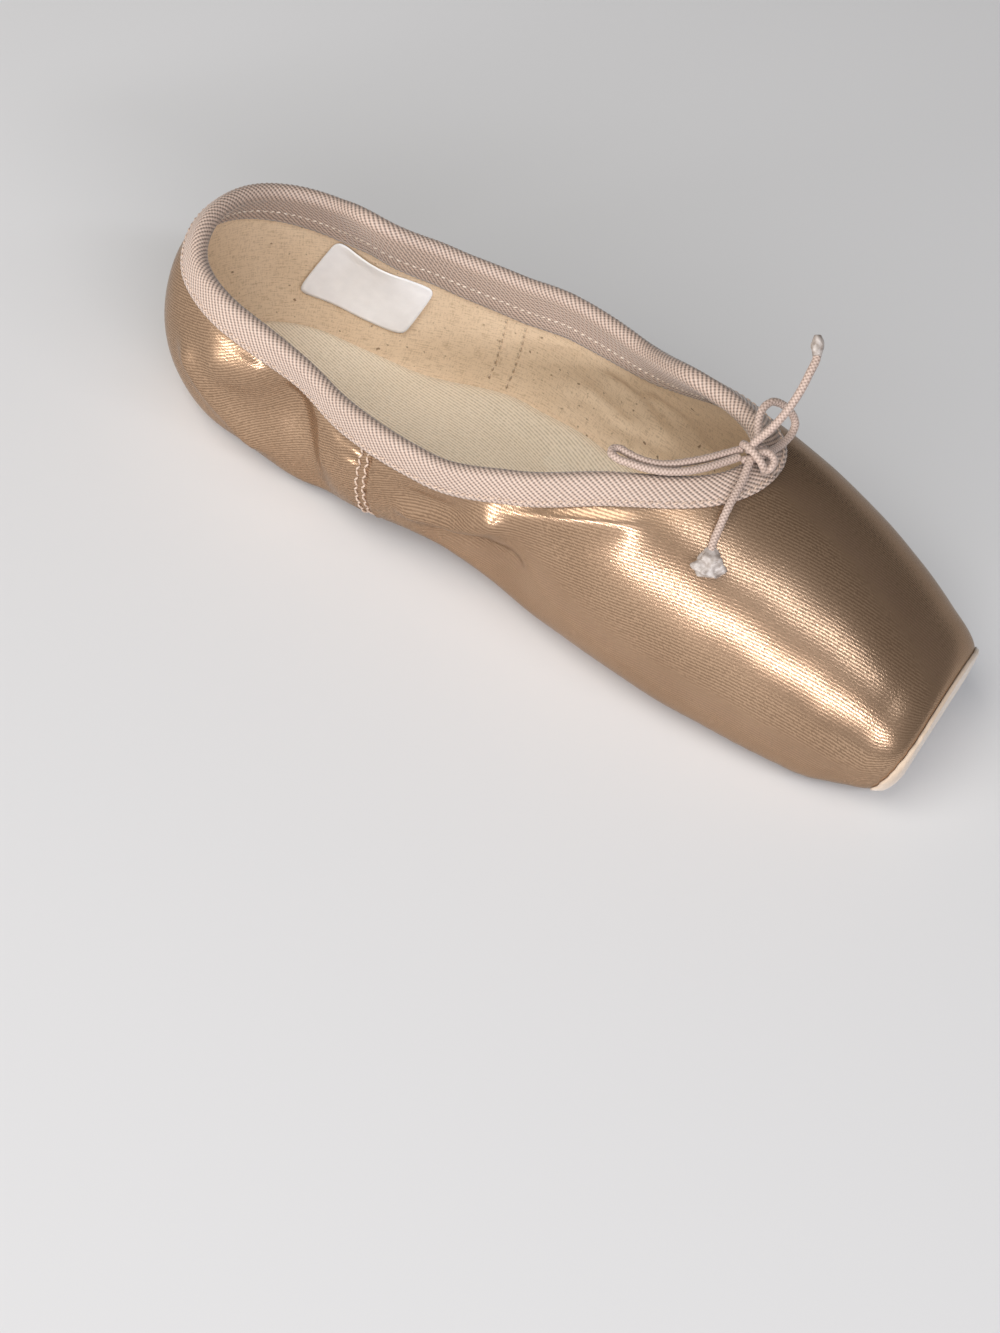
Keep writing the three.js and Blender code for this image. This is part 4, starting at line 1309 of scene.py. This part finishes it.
# Insole: its edge turns up a little against the lining
INSOLE_ROWS = 30
INSOLE_HEEL_ROWS = 26
INSOLE_FRONT_ROWS = 110
INSOLE_EDGE = 0.7
INSOLE_PUFF = 0.4
INSOLE_SPREAD = 4.5  # beyond the lasted edge, at the waist
INSOLE_UPTURN = 1.8
INSOLE_FRONT_SPREAD = 2.5  # more of both before the waist, where it climbs the lining
INSOLE_FRONT_UPTURN = 2.8
INSOLE_WAIST = (60, 100)
INSOLE_CLIMB = (98, 122)
INSOLE_FLAT = (150, 185)


def rounded_end(to_end, round_length):
    past = np.clip(1 - to_end / round_length, 0, 1)
    return np.sqrt(np.maximum(0, 1 - past * past))


def make_insole():
    front = HEEL_CENTRE + (INSOLE_FRONT - HEEL_CENTRE) * np.sin(np.linspace(0, np.pi / 2, INSOLE_FRONT_ROWS))
    stations = np.concatenate([np.linspace(0, 1, INSOLE_HEEL_ROWS)[:-1], station_of(front)])
    from_heel = from_heel_of(stations)
    floor = last_bottom(from_heel) + wall_at(stations) + SEAM_GAP
    reach = FLAT_SHARE * rounded_end(INSOLE_FRONT - from_heel, INSOLE_TOE_ROUND)
    fade = 1 - smooth(from_heel, *INSOLE_FLAT)
    waist = smooth(from_heel, *INSOLE_WAIST) * fade
    climb = smooth(from_heel, *INSOLE_CLIMB) * fade
    spread = INSOLE_SPREAD * waist + INSOLE_FRONT_SPREAD * climb
    rise = INSOLE_UPTURN * waist + INSOLE_FRONT_UPTURN * climb
    patchwork = Patchwork()
    for side in (-1, 1):
        flip = side > 0
        share = 1 - (1 - np.linspace(0, 1, INSOLE_ROWS)) ** 1.5
        place = last_point(stations[:, None], reach[:, None] * share[None, :], side)
        outer = spread[:, None] * share[None, :] ** 2
        place[..., 1] += side * outer
        upturn = rise[:, None] * smooth(share, 0.6, 1.0)[None, :]
        drop = INSOLE_EDGE * smooth(share, 0.93, 1.0) - INSOLE_PUFF * smooth(share, 0.5, 0.93)
        top = place.copy()
        top[..., 2] = floor[:, None] + INSOLE_THICKNESS - drop[None, :] + upturn
        under = place[:, [0, -1]].copy()
        under[..., 2] = floor[:, None] + upturn[:, [0, -1]]
        patchwork.grid(top, top[..., :2], flip=not flip)
        patchwork.grid(under, under[..., :2], flip=flip)
        wall = np.stack([under[:, -1], top[:, -1]], 1)
        patchwork.grid(wall, wall[..., :2], flip=flip)
    lay(patchwork.make("canvas_insole", [CANVAS], CLOTH_WELD), "canvas", "insole")


make_insole()


# Platform patch of suede with a slightly ragged border
EDGE_ROWS = 9
PLATFORM_COLUMNS = 110
PLATFORM_STATIONS = np.array((3.2, 3.4, 3.6, 3.8, 4.0))
BORDER_TURN = (0.25, 0.8)
BORDER_THINNING = 0.35
RAGGED_COARSE = 0.022
RAGGED_FINE = 0.016
NAP_HEIGHT = 0.08
NAP_END = 3.9
UNDERSIDE_GAP = 0.4  # of the seam's gap


def make_platform():
    girths = np.linspace(0, 1, PLATFORM_COLUMNS)
    patchwork = Patchwork()
    for side in (-1, 1):
        flip = side > 0
        ragged = RAGGED_COARSE * np.sin(girths * 47) * np.sin(girths * 19 + 1)
        ragged = ragged + RAGGED_FINE * np.sin(girths * 83)
        turned = CAP_BORDER_BELOW + (CAP_BORDER_TOP - CAP_BORDER_BELOW) * smooth(girths, *BORDER_TURN)
        border = 2 + turned + ragged * np.sin(girths * np.pi)
        share = np.linspace(0, 1, EDGE_ROWS)[:, None]
        flat = PLATFORM_STATIONS[:, None] + 0 * girths
        stations = np.concatenate([border + (3 - border) * share, flat])
        grid = np.broadcast_to(girths, stations.shape)
        thin = BORDER_THINNING + (1 - BORDER_THINNING) * smooth(share, 0, 0.3)
        thin = np.concatenate([thin, np.ones((len(flat), 1))])
        soft = NAP_HEIGHT * np.sin(grid * 31 + stations * 17) * np.sin(grid * 13 - stations * 29)
        soft = soft * np.sin(grid * np.pi) * (stations < NAP_END)
        outer = off_last(stations, grid, side, SEAM_GAP + CAP_THICKNESS * thin + soft)
        inner = off_last(stations, grid, side, SEAM_GAP * UNDERSIDE_GAP)
        for layer in (outer, inner):
            layer[:, (0, -1), 1] = 0
        cloth = outer[..., 1:]
        patchwork.grid(outer, cloth, flip=flip)
        patchwork.grid(inner, cloth, flip=not flip)
        rim = np.stack([inner[0], outer[0]])
        patchwork.grid(rim, cloth[:2], flip=flip)
    lay(patchwork.make("suede_platform", [SUEDE], CLOTH_WELD), "suede", "platform_patch")


make_platform()


# Leather outsole with rounded edges
SOLE_ROWS = 150
SOLE_ENDS = 0.02
SOLE_EDGE = 0.8
SOLE_EDGE_ROWS = 5
SOLE_TOP_INSET = 0.15


def make_outsole():
    middle = (SOLE_BACK + SOLE_FRONT) / 2
    reach = (SOLE_FRONT - SOLE_BACK) / 2
    from_heel = middle - reach * np.cos(np.linspace(SOLE_ENDS, np.pi - SOLE_ENDS, SOLE_ROWS))
    half = (
        table_curve(SOLE_OUTLINE, SOLE_COLUMNS, "half_width", from_heel)
        * rounded_end(from_heel - SOLE_BACK, SOLE_HEEL_ROUND)
        * rounded_end(SOLE_FRONT - from_heel, SOLE_TOE_ROUND)
    )
    ground = ground_at(from_heel)
    turns = np.linspace(0, np.pi / 2, SOLE_EDGE_ROWS)
    side = [(SOLE_EDGE * (1 - math.sin(t)), SOLE_EDGE * (1 - math.cos(t))) for t in turns]
    profile = [(-1, inset, up) for inset, up in side] + [(-1, SOLE_TOP_INSET, SOLE_THICKNESS)]
    profile += [(1, inset, up) for _, inset, up in reversed(profile)]
    ring = np.stack(
        [
            np.stack([from_heel, sign * np.maximum(half - inset, SOLE_ENDS), ground + up], -1)
            for sign, inset, up in profile + profile[:1]
        ],
        1,
    )
    patchwork = Patchwork()
    patchwork.grid(ring, ring[..., :2])
    for end, flip in ((ring[0, :-1], True), (ring[-1, :-1], False)):
        centre = end.mean(0)
        fan = np.stack([np.repeat(centre[None], len(end) + 1, 0), np.concatenate([end, end[:1]])], 1)
        patchwork.grid(fan, fan[..., :2], flip=flip)
    lay(patchwork.make("leather_sole", [LEATHER], CLOTH_WELD), "leather", "outsole")


make_outsole()


# Blank label on the lining: corners as from heel and height, on the wearer's left
LABEL_CORNERS = np.array(((20.0, 13.0), (55.2, 12.9), (62.4, 33.8), (31.3, 36.8)))
LABEL_THICKNESS = 0.3
LABEL_ROUNDING = 9  # power of the corners' curve
LABEL_GRID = (40, 26)
LABEL_CLOTH = (32, 22)
LABEL_LIFT = 0.45
LABEL_WAVE = 0.22
LABEL_TOP_WAVE = 0.5
LABEL_TOP = (0.8, 1.0)
LABEL_LOWEST = -0.2
LABEL_CURL = 0.21
LABEL_CURL_WIDTH = 0.06


def label_surface(across, up, lift):
    low = LABEL_CORNERS[0] * (1 - across)[..., None] + LABEL_CORNERS[1] * across[..., None]
    high = LABEL_CORNERS[3] * (1 - across)[..., None] + LABEL_CORNERS[2] * across[..., None]
    spot = low * (1 - up)[..., None] + high * up[..., None]
    from_heel, height = spot[..., 0], spot[..., 1]
    girth = girth_at_height(from_heel, height)
    turn = np.arcsin(np.clip(1 - from_heel / HEEL_CENTRE, 0, 1)) / (np.pi / 2)
    station = np.where(from_heel < HEEL_CENTRE, 1 - turn, station_of(from_heel))
    return off_last(station, girth, 1.0, -wall_at(station) - lift)


def make_label():
    right, high = np.meshgrid(*(np.linspace(-1, 1, count) for count in LABEL_GRID), indexing="ij")
    reach = np.maximum(np.abs(right), np.abs(high))
    curve = (np.abs(right) ** LABEL_ROUNDING + np.abs(high) ** LABEL_ROUNDING) ** (1 / LABEL_ROUNDING)
    across, up = (0.5 + 0.5 * share * reach / np.maximum(curve, TOUCH) for share in (right, high))
    wave = LABEL_WAVE * np.sin(across * 7 + 1) * np.sin(up * 4)
    wave = wave + LABEL_TOP_WAVE * smooth(up, *LABEL_TOP) * np.sin(across * 5)
    curl = LABEL_CURL * (1 - smooth(np.minimum(across, 1 - across), 0, LABEL_CURL_WIDTH))
    lift = LABEL_LIFT + np.maximum(wave, LABEL_LOWEST) + curl
    top = label_surface(across, up, lift + LABEL_THICKNESS)
    under = label_surface(across, up, lift)
    cloth = np.stack([across, up], -1) * LABEL_CLOTH
    patchwork = Patchwork()
    patchwork.grid(top, cloth)
    patchwork.grid(under, cloth, flip=True)
    for pick, flip in ((np.s_[0], True), (np.s_[-1], False), (np.s_[:, 0], False), (np.s_[:, -1], True)):
        edge = np.stack([top[pick], under[pick]])
        patchwork.grid(edge, np.stack([cloth[pick]] * 2), flip=flip)
    lay(patchwork.make("blank_label", [BLANK], CLOTH_WELD), "canvas")


make_label()


# Floor, light and air
FLOOR_REACH = 4.0
FLOOR_COLOUR = (0.68, 0.675, 0.67, 1.0)
FLOOR_ROUGHNESS = 0.9
AIR_COLOUR = (0.95, 0.97, 1.0, 1.0)
AIR_STRENGTH = 0.06
LIT_PLACE = Vector((0.03, 0.0, 0.03))
WINDOW_DISTANCE = 2.0

# Soft lights: name, azimuth, elevation, width, height, power, roll, colour
WINDOWS = (
    ("low_window", 24, 20, 3.2, 0.2, 40.0, 15, (1.0, 1.0, 1.05)),
    ("upper_window", 55, 52, 2.4, 0.2, 13.0, -14, (0.96, 1.0, 1.08)),
    ("heel_window", -30, 57, 1.3, 1.3, 22.0, 0, (1.0, 0.97, 0.93)),
    ("quarter_window", -42, 8, 1.3, 0.34, 19.0, 0, (1.0, 0.98, 0.96)),
)


def make_floor():
    mesh = bpy.data.meshes.new("floor")
    corners = [(x * FLOOR_REACH, y * FLOOR_REACH, 0) for x, y in ((-1, -1), (1, -1), (1, 1), (-1, 1))]
    mesh.from_pydata(corners, [], [(0, 1, 2, 3)])
    paper = bpy.data.materials.new("pale_floor")
    paper.use_nodes = True
    shader = paper.node_tree.nodes["Principled BSDF"]
    shader.inputs["Base Color"].default_value = FLOOR_COLOUR
    shader.inputs["Roughness"].default_value = FLOOR_ROUGHNESS
    mesh.materials.append(paper)
    floor = put_in_scene("floor", mesh)


def make_window(name, azimuth, elevation, width, height, power, roll, colour):
    back = Vector(direction_to(azimuth, elevation))
    data = bpy.data.lights.new(name, "AREA")
    data.shape = "RECTANGLE"
    data.size = width
    data.size_y = height
    data.energy = power
    data.color = colour
    light = put_in_scene(name, data)
    light.location = LIT_PLACE + back * WINDOW_DISTANCE
    light.rotation_mode = "QUATERNION"
    rolled = Quaternion((0.0, 0.0, 1.0), math.radians(roll))
    light.rotation_quaternion = back.to_track_quat("Z", "Y") @ rolled


def make_world():
    world = bpy.data.worlds.new("studio_air")
    world.use_nodes = True
    air = world.node_tree.nodes["Background"]
    air.inputs["Color"].default_value = AIR_COLOUR
    air.inputs["Strength"].default_value = AIR_STRENGTH
    bpy.context.scene.world = world


make_floor()
make_world()
for window in WINDOWS:
    make_window(*window)
bpy.context.scene.view_settings.view_transform = "Standard"
